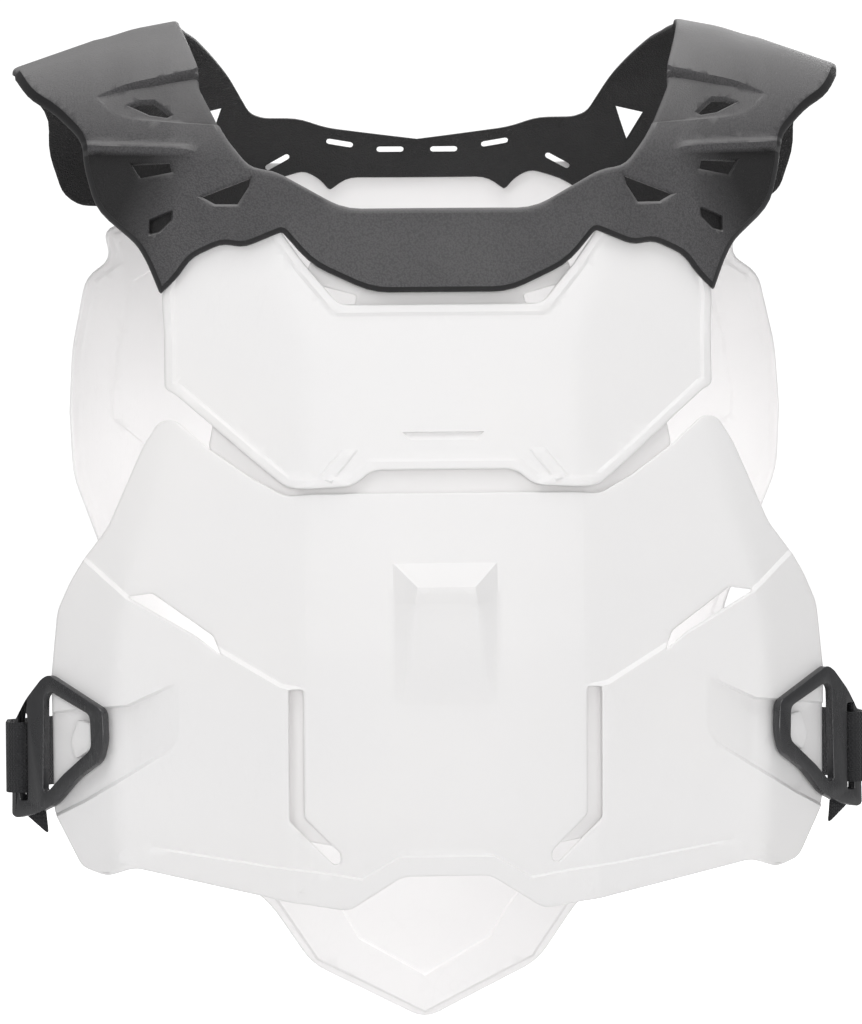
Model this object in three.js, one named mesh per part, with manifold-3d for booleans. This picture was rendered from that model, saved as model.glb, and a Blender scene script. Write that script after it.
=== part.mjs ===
// Roost deflector: a chest and back guard in moulded plates under a rubber shoulder collar.
// Millimetres, +Z up, the wearer faces -Y. The origin is on the shoulders, on the mirror plane.
import * as THREE from 'three';
import { mergeVertices } from 'three/addons/utils/BufferGeometryUtils.js';
import Module from 'manifold-3d';

const wasm = await Module();
wasm.setup();

// Collar
const collarHalfWidth = 217;
const collarDrop = 134.6;
const collarWall = 3.5;
const collarCrest = 12;
const collarRearTip = 45;
const epauletRaise = 2;
const bridgeSlotLength = 15;
const bridgeSlotHeight = 3;

// Front plates
const chestHalfWidth = 139.7;
const chestTop = 92;
const chestHeight = 142;
const seamDepth = 235;
const seamRise = 40;
const abdomenHalfWidth = 198;
const abdomenHeight = 209;
const frontWall = 2.5;
const rimRaise = 1.5;
const rimWidth = 4.5;
const wingLift = 1.6;
const slitInner = 71;
const slitOuter = 78.4;
const scoopRaise = 9;
const scoopHalfWidth = 26;
const scoopHeight = 68;

// Inner frame
const frameHalfWidth = 117;
const frameTop = 108;
const frameHeight = 305;
const frameWall = 2.5;

// Back plate
const backHalfWidth = 190;
const backTop = 52.5;
const backHeight = 471.7;
const backWall = 2.5;
const backRim = 7;
const ribRaise = 1.5;

// Torso that the plates wrap
const frontDepth = 132;
const frontHalfWidth = 228;
const frontHeight = 450;
const backDepth = 123;
const backRound = 105;
const backSweep = 196;

// Buckles and straps
const buckleInset = 0.726 * frontHalfWidth;
const buckleHeight = 362;
const buckleWidth = 66;
const buckleDrop = 37;
const buckleThickness = 5;
const hookRaise = 5.5;
const strapWidth = 36;
const strapThickness = 2;

// Clearances
const seatGap = 0.3;
const collarGap = 0.6;
const rearGap = 0.8;
const loopGap = 0.6;

const reach = 400;

const white = { color: 0xf1efee, roughness: 0.38, metalness: 0 };
const softWhite = { color: 0xeceae9, roughness: 0.5, metalness: 0 };
const rubber = { color: 0x38373a, roughness: 0.7, metalness: 0 };
const black = { color: 0x1c1c1e, roughness: 0.42, metalness: 0 };
const webbing = { color: 0x202022, roughness: 0.9, metalness: 0 };

function solidOf(geometry) {
  geometry.deleteAttribute('normal');
  geometry.deleteAttribute('uv');
  const merged = mergeVertices(geometry, 1e-4);
  return new wasm.Manifold(new wasm.Mesh({
    numProp: 3,
    vertProperties: Float32Array.from(merged.attributes.position.array),
    triVerts: Uint32Array.from(merged.index.array),
  }));
}

function node(name, solid, finish) {
  const { vertProperties, triVerts } = solid.getMesh();
  const geometry = new THREE.BufferGeometry();
  geometry.setAttribute('position', new THREE.BufferAttribute(vertProperties, 3));
  geometry.setIndex(new THREE.BufferAttribute(triVerts, 1));
  geometry.computeVertexNormals();
  const mesh = new THREE.Mesh(geometry, new THREE.MeshStandardMaterial(finish));
  mesh.name = name;
  return mesh;
}

// An outline in front view, [x, z], run through from yLow to yHigh
function prism(outline, yLow = -reach, yHigh = reach) {
  const shape = new THREE.Shape(outline.map(([x, z]) => new THREE.Vector2(x, z)));
  const body = new THREE.ExtrudeGeometry(shape, { depth: yHigh - yLow, bevelEnabled: false });
  body.rotateX(Math.PI / 2);
  body.translate(0, yHigh, 0);
  return solidOf(body);
}

// Rows of shares {across, down} as front-view points under a top height
const points = (rows, width, top, height) =>
  rows.map(({ across, down }) => [across * width, -top - down * height]);

const mirrored = (outline) => outline.map(([x, z]) => [-x, z]).reverse();

const bothSides = (half) => [...half, ...mirrored(half).filter(([x]) => x !== 0)];

const pair = (outline, yLow, yHigh) =>
  prism(outline, yLow, yHigh).add(prism(mirrored(outline), yLow, yHigh));

// The outline moved inwards by a distance, corner by corner
function inset(outline, distance) {
  const turn = Math.sign(THREE.ShapeUtils.area(outline.map(([x, y]) => new THREE.Vector2(x, y))));
  return outline.map(([x, z], k) => {
    const [px, pz] = outline[(k + outline.length - 1) % outline.length];
    const [nx, nz] = outline[(k + 1) % outline.length];
    const before = new THREE.Vector2(x - px, z - pz).normalize();
    const after = new THREE.Vector2(nx - x, nz - z).normalize();
    const normal = new THREE.Vector2(-before.y - after.y, before.x + after.x).normalize();
    const miter = Math.max(0.5, normal.dot(new THREE.Vector2(-after.y, after.x)));
    return [x + turn * distance * normal.x / miter, z + turn * distance * normal.y / miter];
  });
}

// Value of a column at a height in a table whose rows go down by shares
function between(rows, down, column) {
  const low = rows.findIndex((row) => row.down >= down);
  if (low === -1) return rows[rows.length - 1][column];
  if (low === 0) return rows[0][column];
  const a = rows[low - 1];
  const b = rows[low];
  return THREE.MathUtils.mapLinear(down, a.down, b.down, a[column], b[column]);
}

// Both faces of the wall get the same diagonals, mirrored left to right, so that layers stay parallel
function pairDiagonals(box, across) {
  const [, , behind, front] = box.groups;
  for (const { start, count } of [behind, front]) {
    for (let k = start; k < start + count; k += 6) {
      const right = ((k - start) / 6) % across >= across / 2;
      if (right !== (start === behind.start)) continue;
      const [a, b, d, , c] = box.index.array.slice(k, k + 6);
      box.index.array.set([a, b, c, a, c, d], k);
    }
  }
}

// A wall with cells across and along; place gives each corner, side -1 in front and +1 behind
function wall(across, along, place) {
  const box = new THREE.BoxGeometry(across, 1, along, across, 1, along);
  pairDiagonals(box, across);
  const spot = box.attributes.position;
  for (let k = 0; k < spot.count; k++) {
    const i = Math.round(spot.getX(k) + across / 2);
    const j = Math.round(spot.getZ(k) + along / 2);
    spot.setXYZ(k, ...place(i, j, Math.sign(spot.getY(k))));
  }
  return solidOf(box);
}

// Front of the torso: fold and side lines as shares of frontHalfWidth, depths as shares of frontDepth
const frontRows = [
  { down: 0.10, fold: 0.400, side: 0.585, centreOut: 0.740, foldOut: 0.690, sideOut: 0.610, edgeOut: 0.22 },
  { down: 0.20, fold: 0.388, side: 0.590, centreOut: 0.790, foldOut: 0.745, sideOut: 0.640, edgeOut: 0.22 },
  { down: 0.30, fold: 0.342, side: 0.598, centreOut: 0.870, foldOut: 0.825, sideOut: 0.665, edgeOut: 0.24 },
  { down: 0.355, fold: 0.296, side: 0.595, centreOut: 0.905, foldOut: 0.870, sideOut: 0.680, edgeOut: 0.25 },
  { down: 0.44, fold: 0.298, side: 0.592, centreOut: 0.945, foldOut: 0.905, sideOut: 0.700, edgeOut: 0.26 },
  { down: 0.52, fold: 0.301, side: 0.635, centreOut: 0.970, foldOut: 0.925, sideOut: 0.700, edgeOut: 0.26 },
  { down: 0.61, fold: 0.305, side: 0.697, centreOut: 0.990, foldOut: 0.940, sideOut: 0.682, edgeOut: 0.25 },
  { down: 0.70, fold: 0.309, side: 0.724, centreOut: 0.985, foldOut: 0.935, sideOut: 0.667, edgeOut: 0.25 },
  { down: 0.90, fold: 0.316, side: 0.724, centreOut: 0.925, foldOut: 0.865, sideOut: 0.667, edgeOut: 0.25 },
  { down: 1.02, fold: 0.316, side: 0.700, centreOut: 0.860, foldOut: 0.805, sideOut: 0.620, edgeOut: 0.22 },
];

// Share of the fold's fall that the middle panel has had halfway to the fold
const panelRound = 0.25;

// Depth of the torso's front at a place in front view
function frontAt(x, z) {
  const down = -z / frontHeight;
  const fold = between(frontRows, down, 'fold') * frontHalfWidth;
  const side = between(frontRows, down, 'side') * frontHalfWidth;
  const middle = between(frontRows, down, 'centreOut');
  const folded = between(frontRows, down, 'foldOut');
  const knots = [
    { down: 0, out: middle },
    { down: fold / 2, out: THREE.MathUtils.lerp(middle, folded, panelRound) },
    { down: fold, out: folded },
    { down: side, out: between(frontRows, down, 'sideOut') },
    { down: frontHalfWidth, out: between(frontRows, down, 'edgeOut') },
  ];
  return between(knots, Math.abs(x), 'out') * frontDepth;
}

// Place of a grid column between the fold lines, counted from the middle
function columnAt(column, z, last = 6, width = frontHalfWidth) {
  const down = -z / frontHeight;
  const lines = [
    { down: 0, x: 0 },
    { down: 2, x: between(frontRows, down, 'fold') * frontHalfWidth },
    { down: 4, x: between(frontRows, down, 'side') * frontHalfWidth },
    { down: last, x: width },
  ];
  return Math.sign(column) * between(lines, Math.abs(column), 'x');
}

// A front wall whose outer face stands proud of the torso line by a distance
const frontColumns = 6;
function frontWallAt(proud, thickness) {
  const heights = frontRows.flatMap(({ down }, k) =>
    (k + 1 < frontRows.length ? [down, (down + frontRows[k + 1].down) / 2] : [down]));
  heights.reverse();
  return wall(2 * frontColumns, heights.length - 1, (i, j, side) => {
    const z = -heights[j] * frontHeight;
    const x = columnAt(i - frontColumns, z);
    return [x, -frontAt(x, z) - proud + (side > 0 ? thickness : 0), z];
  });
}

// Back of the torso: an elliptic sweep whose middle leans in and out down the spine
const spineRows = [
  { down: 0, lean: -0.045 },
  { down: 0.2, lean: 0 },
  { down: 0.45, lean: -0.03 },
  { down: 0.65, lean: -0.065 },
  { down: 0.85, lean: -0.045 },
  { down: 1.1, lean: -0.02 },
];
function backAt(x, z) {
  const lean = between(spineRows, (-z - backTop) / backHeight, 'lean') * backDepth;
  const share = Math.min(1, Math.abs(x) / backSweep);
  return backDepth - backRound + lean + backRound * Math.sqrt(1 - share * share);
}
const backColumns = 12;
const backBands = 10;
const backTurn = 86;
const backMargin = 4;
function backWallAt(proud, thickness) {
  return wall(2 * backColumns, backBands, (i, j, side) => {
    const z = -backTop + backMargin - (1 - j / backBands) * (backHeight + 2 * backMargin);
    const angle = THREE.MathUtils.degToRad((i - backColumns) / backColumns * backTurn);
    const x = backSweep * Math.sin(angle);
    const y = backAt(x, z);
    const inward = side > 0 ? 0 : thickness;
    return [x + (proud - inward) * Math.sin(angle), y + (proud - inward) * Math.cos(angle), z];
  });
}

// Collar: each column is an arch from the chest up over the shoulder and down the back
const archSteps = 6;
const archFoot = 0.66;
const frontSkirt = 0.35;
const rearFoot = 0.46;
const rearSkirt = 0.16;
const rearReach = 0.69;
const collarColumns = 9;
const collarSpread = 1.06;
const crestRows = [
  { down: 0.0, rise: 1.0 },
  { down: 0.6, rise: 1.0 },
  { down: 0.8, rise: 0.35 },
  { down: 1.0, rise: -0.88 },
  { down: 1.1, rise: -1.6 },
];
function rearAt(x, z) {
  const flare = rearReach * collarHalfWidth;
  const wide = Math.max(0, Math.abs(x) - flare) / (collarHalfWidth - flare);
  const near = backAt(Math.min(flare, Math.abs(x)), z) - backWall - rearGap;
  return near + (collarRearTip - near) * wide;
}
function collarWallAt(proud, thickness) {
  const along = 2 * archSteps + 4;
  return wall(2 * collarColumns, along, (i, j, side) => {
    const out = side < 0 ? proud : proud - thickness;
    const front = j <= archSteps + 2;
    const foot = -(front ? archFoot : rearFoot) * collarDrop;
    const step = front ? j - 2 : along - 2 - j;
    const level = foot + Math.min(0, step) * (front ? frontSkirt : rearSkirt) / 2 * collarDrop;
    const spread = front ? level : -archFoot * collarDrop;
    const x = columnAt(i - collarColumns, spread, collarColumns, collarSpread * collarHalfWidth);
    const crest = between(crestRows, Math.abs(x) / collarHalfWidth, 'rise') * collarCrest;
    const flatFront = (z) => frontAt(x, z) + rimRaise + collarGap + collarWall;
    const flat = front ? flatFront : (z) => rearAt(x, z);
    const towards = front ? -1 : 1;
    if (step < 0) return [x, towards * (flat(level) + out), level];
    const angle = step / archSteps * Math.PI / 2;
    const y = flat(foot) * Math.cos(angle);
    const z = foot + (crest - foot) * Math.sin(angle);
    return [x, towards * (y + out * Math.cos(angle)), z + out * Math.sin(angle)];
  });
}

const collarFront = [
  { across: 0, down: 0.683 },
  { across: 0.221, down: 0.683 },
  { across: 0.378, down: 0.536 },
  { across: 0.436, down: 0.521 },
  { across: 0.495, down: 0.396 },
  { across: 0.553, down: 0.182 },
  { across: 0.552, down: 0.132 },
  { across: 0.601, down: -0.085 },
  { across: 0.601, down: -0.3 },
  { across: 1.0, down: -0.3 },
  { across: 1.0, down: 0.079 },
  { across: 0.956, down: 0.195 },
  { across: 0.899, down: 0.256 },
  { across: 0.829, down: 0.380 },
  { across: 0.824, down: 0.481 },
  { across: 0.797, down: 0.658 },
  { across: 0.701, down: 0.799 },
  { across: 0.677, down: 0.869 },
  { across: 0.647, down: 0.992 },
  { across: 0.605, down: 0.928 },
  { across: 0.575, down: 0.857 },
  { across: 0.502, down: 0.805 },
  { across: 0.453, down: 0.823 },
  { across: 0.364, down: 0.767 },
  { across: 0.298, down: 0.893 },
  { across: 0.159, down: 1.0 },
  { across: 0, down: 1.0 },
];
const collarRear = [
  { across: 0, down: 0.290 },
  { across: 0.234, down: 0.245 },
  { across: 0.299, down: 0.210 },
  { across: 0.391, down: 0.211 },
  { across: 0.4235, down: 0.193 },
  { across: 0.476, down: 0.056 },
  { across: 0.519, down: -0.016 },
  { across: 0.561, down: -0.070 },
  { across: 0.601, down: -0.094 },
  { across: 0.601, down: -0.3 },
  { across: 1.0, down: -0.3 },
  { across: 1.0, down: 0.079 },
  { across: 0.917, down: 0.220 },
  { across: 0.923, down: 0.365 },
  { across: 0.889, down: 0.536 },
  { across: 0.848, down: 0.582 },
  { across: 0.461, down: 0.580 },
  { across: 0.372, down: 0.464 },
  { across: 0.287, down: 0.421 },
  { across: 0.249, down: 0.452 },
  { across: 0.222, down: 0.501 },
  { across: 0.176, down: 0.448 },
  { across: 0, down: 0.448 },
];
const epaulet = [
  { across: 0.601, down: -0.3 },
  { across: 1.0, down: -0.3 },
  { across: 1.0, down: 0.079 },
  { across: 0.956, down: 0.195 },
  { across: 0.797, down: 0.222 },
  { across: 0.730, down: 0.193 },
  { across: 0.648, down: 0.172 },
  { across: 0.564, down: 0.145 },
  { across: 0.552, down: 0.132 },
  { across: 0.601, down: -0.085 },
];
const collarHoles = {
  shoulder: [
    { across: 0.712, down: 0.262 },
    { across: 0.691, down: 0.248 },
    { across: 0.658, down: 0.248 },
    { across: 0.619, down: 0.305 },
    { across: 0.627, down: 0.312 },
    { across: 0.667, down: 0.300 },
  ],
  upper: [
    { across: 0.711, down: 0.488 },
    { across: 0.622, down: 0.492 },
    { across: 0.617, down: 0.528 },
    { across: 0.690, down: 0.544 },
    { across: 0.700, down: 0.520 },
  ],
  lower: [
    { across: 0.547, down: 0.629 },
    { across: 0.435, down: 0.562 },
    { across: 0.439, down: 0.593 },
    { across: 0.466, down: 0.660 },
    { across: 0.518, down: 0.657 },
  ],
};
const rearHole = [
  { across: 0.494, down: 0.172 },
  { across: 0.524, down: 0.305 },
  { across: 0.562, down: 0.200 },
];
const bridgeSlots = [
  { across: 0.068, down: 0.331, tilt: 0 },
  { across: 0.196, down: 0.306, tilt: 9 },
  { across: 0.354, down: 0.386, tilt: -30 },
];

function slotOutline({ across, down, tilt }) {
  const radius = bridgeSlotHeight / 2;
  const half = bridgeSlotLength / 2 - radius;
  const turn = THREE.MathUtils.degToRad(tilt);
  const ring = [];
  for (const end of [1, -1]) {
    for (let k = 0; k <= 4; k++) {
      const angle = (end > 0 ? -0.5 : 0.5) * Math.PI + k / 4 * Math.PI;
      ring.push([end * half + radius * Math.cos(angle), radius * Math.sin(angle)]);
    }
  }
  return ring.map(([u, v]) => [
    across * collarHalfWidth + u * Math.cos(turn) - v * Math.sin(turn),
    -down * collarDrop + u * Math.sin(turn) + v * Math.cos(turn),
  ]);
}

function makeCollar() {
  const collarPoints = (rows) => points(rows, collarHalfWidth, 0, collarDrop);
  const crestStrip = 0.01;
  const frontCut = prism(bothSides(collarPoints(collarFront)), -reach, crestStrip);
  const rearCut = prism(bothSides(collarPoints(collarRear)), 0, reach);
  const tierCut = pair(collarPoints(epaulet), -reach, crestStrip);
  let collar = collarWallAt(0, collarWall).intersect(frontCut.add(rearCut));
  collar = collar.add(collarWallAt(epauletRaise, collarWall + epauletRaise).intersect(tierCut));
  for (const hole of Object.values(collarHoles)) {
    collar = collar.subtract(pair(collarPoints(hole), -reach, -1));
  }
  collar = collar.subtract(pair(collarPoints(rearHole), 1, reach));
  for (const slot of bridgeSlots) {
    collar = collar.subtract(pair(slotOutline(slot), 1, reach));
  }
  return collar;
}

// The seam between chest and abdomen: edges as shares of seamRise above the seam line
const seamRows = [
  { across: 0, chest: 0.29, abdomen: 0 },
  { across: 0.18, chest: 0.29, abdomen: 0 },
  { across: 0.228, chest: 0.09, abdomen: 0 },
  { across: 0.346, chest: 0.06, abdomen: 0 },
  { across: 0.395, chest: 0.08, abdomen: -0.03 },
  { across: 0.480, chest: 0.43, abdomen: 0.20 },
  { across: 0.594, chest: 0.93, abdomen: 0.60 },
  { across: 0.675, chest: 1.28, abdomen: 0.96 },
];
const seamPoint = (across, rise) => [across * abdomenHalfWidth, -seamDepth + rise * seamRise];

const chestRows = [
  { across: 0, down: 0.342 },
  { across: 0.365, down: 0.342 },
  { across: 0.484, down: 0.197 },
  { across: 0.569, down: 0.077 },
  { across: 0.600, down: 0 },
  { across: 0.945, down: 0 },
  { across: 1.0, down: 0.303 },
  { across: 0.993, down: 0.423 },
  { across: 0.993, down: 0.600 },
];
const chestSlot = { halfWidth: 0.149, down: 0.835, height: 0.012 };

function makeChestPlate() {
  const upper = points(chestRows, chestHalfWidth, chestTop, chestHeight);
  const corner = upper[upper.length - 1];
  const lower = seamRows.map(({ across, chest }) => seamPoint(across, chest)).reverse();
  const half = [...upper, [corner[0], Math.min(corner[1], lower[0][1])], ...lower];
  const outline = bothSides(half);
  const plate = frontWallAt(0, frontWall).intersect(prism(outline, -reach, 0));
  const rim = prism(outline, -reach, 0).subtract(prism(inset(outline, rimWidth), -reach, 0));
  const raised = frontWallAt(rimRaise, frontWall + rimRaise).intersect(rim);
  const slotLow = -chestTop - chestSlot.down * chestHeight;
  const slotHigh = slotLow + chestSlot.height * chestHeight;
  const slotHalf = chestSlot.halfWidth * chestHalfWidth;
  const slot = [[-slotHalf, slotLow], [slotHalf, slotLow], [slotHalf, slotHigh], [-slotHalf, slotHigh]];
  return plate.add(raised).subtract(prism(slot, -reach, 0));
}

const upperWingEdge = [
  { across: 0.715, down: -0.180 },
  { across: 0.757, down: -0.120 },
  { across: 0.851, down: 0.078 },
  { across: 0.912, down: 0.150 },
];
const lowerWingEdge = [
  { across: 0.948, down: 0.205 },
  { across: 0.983, down: 0.277 },
  { across: 1.0, down: 0.436 },
  { across: 0.997, down: 0.768 },
  { across: 0.925, down: 0.900 },
  { across: 0.862, down: 0.920 },
  { across: 0.789, down: 0.897 },
];
const bottomEdge = [
  { across: 0.789, down: 0.897 },
  { across: 0.396, down: 0.978 },
  { across: 0.248, down: 1.0 },
  { across: 0.111, down: 0.917 },
  { across: 0, down: 0.917 },
];
const lowerWingTop = [
  { across: 0.912, down: 0.150 },
  { across: 0.802, down: 0.243 },
  { across: 0.626, down: 0.338 },
  { across: 0.414, down: 0.457 },
];
const wingGap = [
  { across: 0.800, down: 0.243 },
  { across: 0.737, down: 0.235 },
  { across: 0.584, down: 0.338 },
  { across: 0.565, down: 0.383 },
  { across: 0.626, down: 0.338 },
];
const bottomLip = [
  { across: 0.724, down: 0.850 },
  { across: 0.459, down: 0.889 },
  { across: 0.287, down: 0.911 },
  { across: 0.215, down: 0.923 },
  { across: 0.119, down: 0.869 },
  { across: 0, down: 0.869 },
];
const slitFoot = [
  { across: 0.394, down: 0.775 },
  { across: 0.394, down: 0.792 },
  { across: 0.285, down: 0.888 },
  { across: 0.268, down: 0.885 },
  { across: 0.268, down: 0.862 },
  { across: 0.358, down: 0.775 },
];
// The scoop's outline as shares of its half-width and height, with how far each line stands out
const scoopRows = [
  { across: 0.96, down: 0, out: 0.1 },
  { across: 0.60, down: 0.16, out: 1.0 },
  { across: 0.56, down: 0.40, out: 0.95 },
  { across: 0.78, down: 1.0, out: 0.1 },
];
const scoopTop = 270;

function makeScoop() {
  return wall(4, scoopRows.length - 1, (i, j, side) => {
    const row = scoopRows[scoopRows.length - 1 - j];
    const next = Math.abs(i - 2) / 2;
    const x = Math.sign(i - 2) * (next < 1 ? row.across : 1) * scoopHalfWidth;
    const z = -scoopTop - row.down * scoopHeight;
    const out = next < 1 ? row.out * scoopRaise : 0.1 * scoopRaise;
    return [x, -frontAt(x, z) + (side < 0 ? -out : frontWall / 2), z];
  });
}

function makeAbdomenPlate() {
  const place = (rows) => points(rows, abdomenHalfWidth, seamDepth, abdomenHeight);
  const top = seamRows.map(({ across, abdomen }) => seamPoint(across, abdomen));
  const edge = [...upperWingEdge, ...lowerWingEdge, ...bottomEdge.slice(1)];
  const outline = bothSides([...top, ...place(edge)]);
  const wingRows = [...lowerWingTop, bottomEdge[1], ...[...lowerWingEdge].reverse()];
  const slitTop = -seamDepth - lowerWingTop[3].down * abdomenHeight;
  const slitLow = -seamDepth - slitFoot[0].down * abdomenHeight;
  const lip = bothSides(place([...[...bottomLip].reverse(), ...bottomEdge]));
  const whole = prism(outline, -reach, 0);
  const wing = pair(place(wingRows), -reach, 0);
  let plate = frontWallAt(0, frontWall).intersect(whole);
  plate = plate.add(frontWallAt(wingLift, frontWall + wingLift).intersect(wing));
  const lipRaise = wingLift + rimRaise;
  plate = plate.add(frontWallAt(lipRaise, frontWall + lipRaise).intersect(prism(lip, -reach, 0)));
  plate = plate.add(makeScoop());
  plate = plate.subtract(pair(place(wingGap), -reach, 0));
  plate = plate.subtract(pair([
    [slitInner, slitTop], [slitOuter, slitTop], [slitOuter, slitLow], [slitInner, slitLow],
  ], -reach, 0));
  plate = plate.subtract(pair(place(slitFoot), -reach, 0));
  return plate;
}

const frameRows = [
  { across: 0, down: 0.07 },
  { across: 0.30, down: 0.07 },
  { across: 0.52, down: 0.0 },
  { across: 0.62, down: 0.10 },
  { across: 0.66, down: 0.26 },
  { across: 0.97, down: 0.28 },
  { across: 1.0, down: 0.34 },
  { across: 0.72, down: 0.46 },
  { across: 0.70, down: 0.98 },
  { across: 0.40, down: 1.0 },
  { across: 0, down: 0.95 },
];
const frameWindow = [
  { across: 0.50, down: 0.075 },
  { across: 0.36, down: 0.090 },
  { across: 0.365, down: 0.105 },
  { across: 0.44, down: 0.105 },
];

function makeInnerFrame() {
  const place = (rows) => points(rows, frameHalfWidth, frameTop, frameHeight);
  const proud = -frontWall - seatGap;
  return frontWallAt(proud, frameWall)
    .intersect(prism(bothSides(place(frameRows)), -reach, 0))
    .subtract(pair(place(frameWindow), -reach, 0));
}

const backRows = [
  { across: 0, down: 0 },
  { across: 0.58, down: 0 },
  { across: 0.79, down: 0.065 },
  { across: 0.905, down: 0.081 },
  { across: 0.881, down: 0.114 },
  { across: 0.953, down: 0.136 },
  { across: 0.992, down: 0.219 },
  { across: 1.0, down: 0.290 },
  { across: 0.992, down: 0.362 },
  { across: 0.936, down: 0.425 },
  { across: 0.850, down: 0.525 },
  { across: 0.820, down: 0.720 },
  { across: 0.630, down: 0.800 },
  { across: 0.447, down: 0.860 },
  { across: 0.328, down: 0.932 },
  { across: 0, down: 1.0 },
];
const backPanel = [
  { across: 0, down: 0.10 },
  { across: 0.55, down: 0.14 },
  { across: 0.80, down: 0.30 },
  { across: 0.66, down: 0.52 },
  { across: 0.52, down: 0.76 },
  { across: 0.22, down: 0.90 },
  { across: 0, down: 0.93 },
];

function makeBackPlate() {
  const place = (rows) => points(rows, backHalfWidth, backTop, backHeight);
  const outline = bothSides(place(backRows));
  const panel = bothSides(place(backPanel));
  const rim = prism(outline, 0, reach).subtract(prism(inset(outline, backRim), 0, reach));
  const raised = rim.add(prism(panel, 0, reach));
  return backWallAt(0, backWall).intersect(prism(outline, 0, reach))
    .add(backWallAt(ribRaise, backWall + ribRaise).intersect(raised));
}

// Buckle ring in its own plane: u outwards along the wing, v up, shares of buckleWidth and buckleDrop
const ringOuter = [
  { u: 0.606, v: 0.99 },
  { u: 0.040, v: 0.52 },
  { u: 0.030, v: 0.09 },
  { u: 0.080, v: -0.18 },
  { u: 0.323, v: -0.43 },
  { u: 0.548, v: -0.79 },
  { u: 0.742, v: -0.93 },
  { u: 0.952, v: -1.0 },
  { u: 1.0, v: -0.96 },
  { u: 0.985, v: 0.30 },
  { u: 0.940, v: 0.40 },
  { u: 0.847, v: 0.64 },
  { u: 0.680, v: 0.93 },
];
const ringOpening = [
  { u: 0.595, v: 0.765 },
  { u: 0.174, v: 0.446 },
  { u: 0.165, v: -0.014 },
  { u: 0.455, v: -0.373 },
  { u: 0.626, v: -0.627 },
  { u: 0.665, v: -0.60 },
  { u: 0.650, v: 0.675 },
];
const slotSides = { near: 0.83, far: 0.91, top: 0.45, foot: -0.75 };
const hookRows = [
  { u: 0.20, v: 0.32 },
  { u: 0.36, v: 0.38 },
  { u: 0.44, v: 0.06 },
  { u: 0.38, v: -0.17 },
  { u: 0.20, v: -0.02 },
];

// The lower wing's slope at the buckle gives the ring its turn
const wingNear = { x: buckleInset, y: -frontAt(buckleInset, -buckleHeight) };
const wingFar = { x: frontHalfWidth, y: -frontAt(frontHalfWidth, -buckleHeight) };
const wingTurn = Math.atan2(wingFar.y - wingNear.y, wingFar.x - wingNear.x);
const ringSeat = (wingLift + seatGap / Math.cos(wingTurn)) * Math.cos(wingTurn);

// Right-hand ring plane to the object's axes; out is the distance off the torso line
function ringPlace(body) {
  body.rotateX(Math.PI / 2);
  body.rotateZ(wingTurn);
  body.translate(wingNear.x, wingNear.y, -buckleHeight);
  return body;
}
function ringSolid(rows, low, high) {
  const shape = new THREE.Shape(rows.map(({ u, v }) => new THREE.Vector2(u * buckleWidth, v * buckleDrop)));
  const body = new THREE.ExtrudeGeometry(shape, { depth: high - low, bevelEnabled: false });
  body.translate(0, 0, low);
  return solidOf(ringPlace(body));
}

function makeBuckle() {
  const high = ringSeat + buckleThickness;
  const { near, far, top, foot } = slotSides;
  const slot = [{ u: near, v: foot }, { u: far, v: foot }, { u: far, v: top }, { u: near, v: top }];
  return ringSolid(ringOuter, ringSeat, high)
    .subtract(ringSolid(ringOpening, 0, 2 * high))
    .subtract(ringSolid(slot, 0, 2 * high));
}

const makeHook = () => ringSolid(hookRows, 0, ringSeat + hookRaise);

// A ribbon of even thickness along a plan-view path, as wide as the strap
function ribbon(path, height, drop) {
  const left = [];
  const right = [];
  path.forEach(({ x, y }, k) => {
    const a = path[Math.max(0, k - 1)];
    const b = path[Math.min(path.length - 1, k + 1)];
    const along = new THREE.Vector2(b.x - a.x, b.y - a.y).normalize();
    left.push(new THREE.Vector2(x - along.y * strapThickness / 2, y + along.x * strapThickness / 2));
    right.push(new THREE.Vector2(x + along.y * strapThickness / 2, y - along.x * strapThickness / 2));
  });
  const shape = new THREE.Shape([...left, ...right.reverse()]);
  const body = new THREE.ExtrudeGeometry(shape, { depth: height, bevelEnabled: false });
  body.translate(0, 0, -buckleHeight - drop - height / 2);
  return solidOf(body);
}

// The strap leaves the back plate, goes round the ring's outer bar and ends in a short tail
const strapDrop = 6;
const strapLap = 26;
const lapSlack = 0.8;
const waistShare = 0.8;
const lapShares = [-1, -0.75, -0.5, -0.25, 0, 0.2, 0.4];
// How far the strap's loop and tail stand past the ring's outer bar and its slot
const loopReach = 3;
const loopRound = 1.5;
const tailReach = 1.2;
function makeStrap() {
  const along = { x: Math.cos(wingTurn), y: Math.sin(wingTurn) };
  const out = { x: along.y, y: -along.x };
  const ring = (u, off) => ({
    x: wingNear.x + u * along.x + off * out.x,
    y: wingNear.y + u * along.y + off * out.y,
  });
  const slotMiddle = (slotSides.near + slotSides.far) / 2 * buckleWidth;
  const barOut = buckleWidth + loopGap + strapThickness / 2;
  const under = ringSeat - loopGap - strapThickness / 2;
  const over = ringSeat + buckleThickness + loopGap + strapThickness / 2;
  const lapOff = ribRaise + seatGap + lapSlack + strapThickness / 2;
  const lapAt = (x) => {
    const turn = Math.asin(Math.min(1, x / backSweep));
    return { x: x + lapOff * Math.sin(turn), y: backAt(x, -buckleHeight) + lapOff * Math.cos(turn) };
  };
  const bend = ring(barOut + loopReach, under);
  return ribbon([
    ...lapShares.map((share) => lapAt(waistShare * backHalfWidth + share * strapLap)),
    { x: bend.x + loopReach, y: bend.y + strapLap },
    ring(barOut + loopReach, (under + over) / 2),
    ring(barOut - loopRound, over - loopRound / 4),
    ring(slotMiddle + tailReach, over),
    ring(slotMiddle, over - loopRound),
    ring(slotMiddle, under + loopRound / 2),
  ], strapWidth, strapDrop);
}

const mirrorX = (solid) => solid.mirror([1, 0, 0]);

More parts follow.
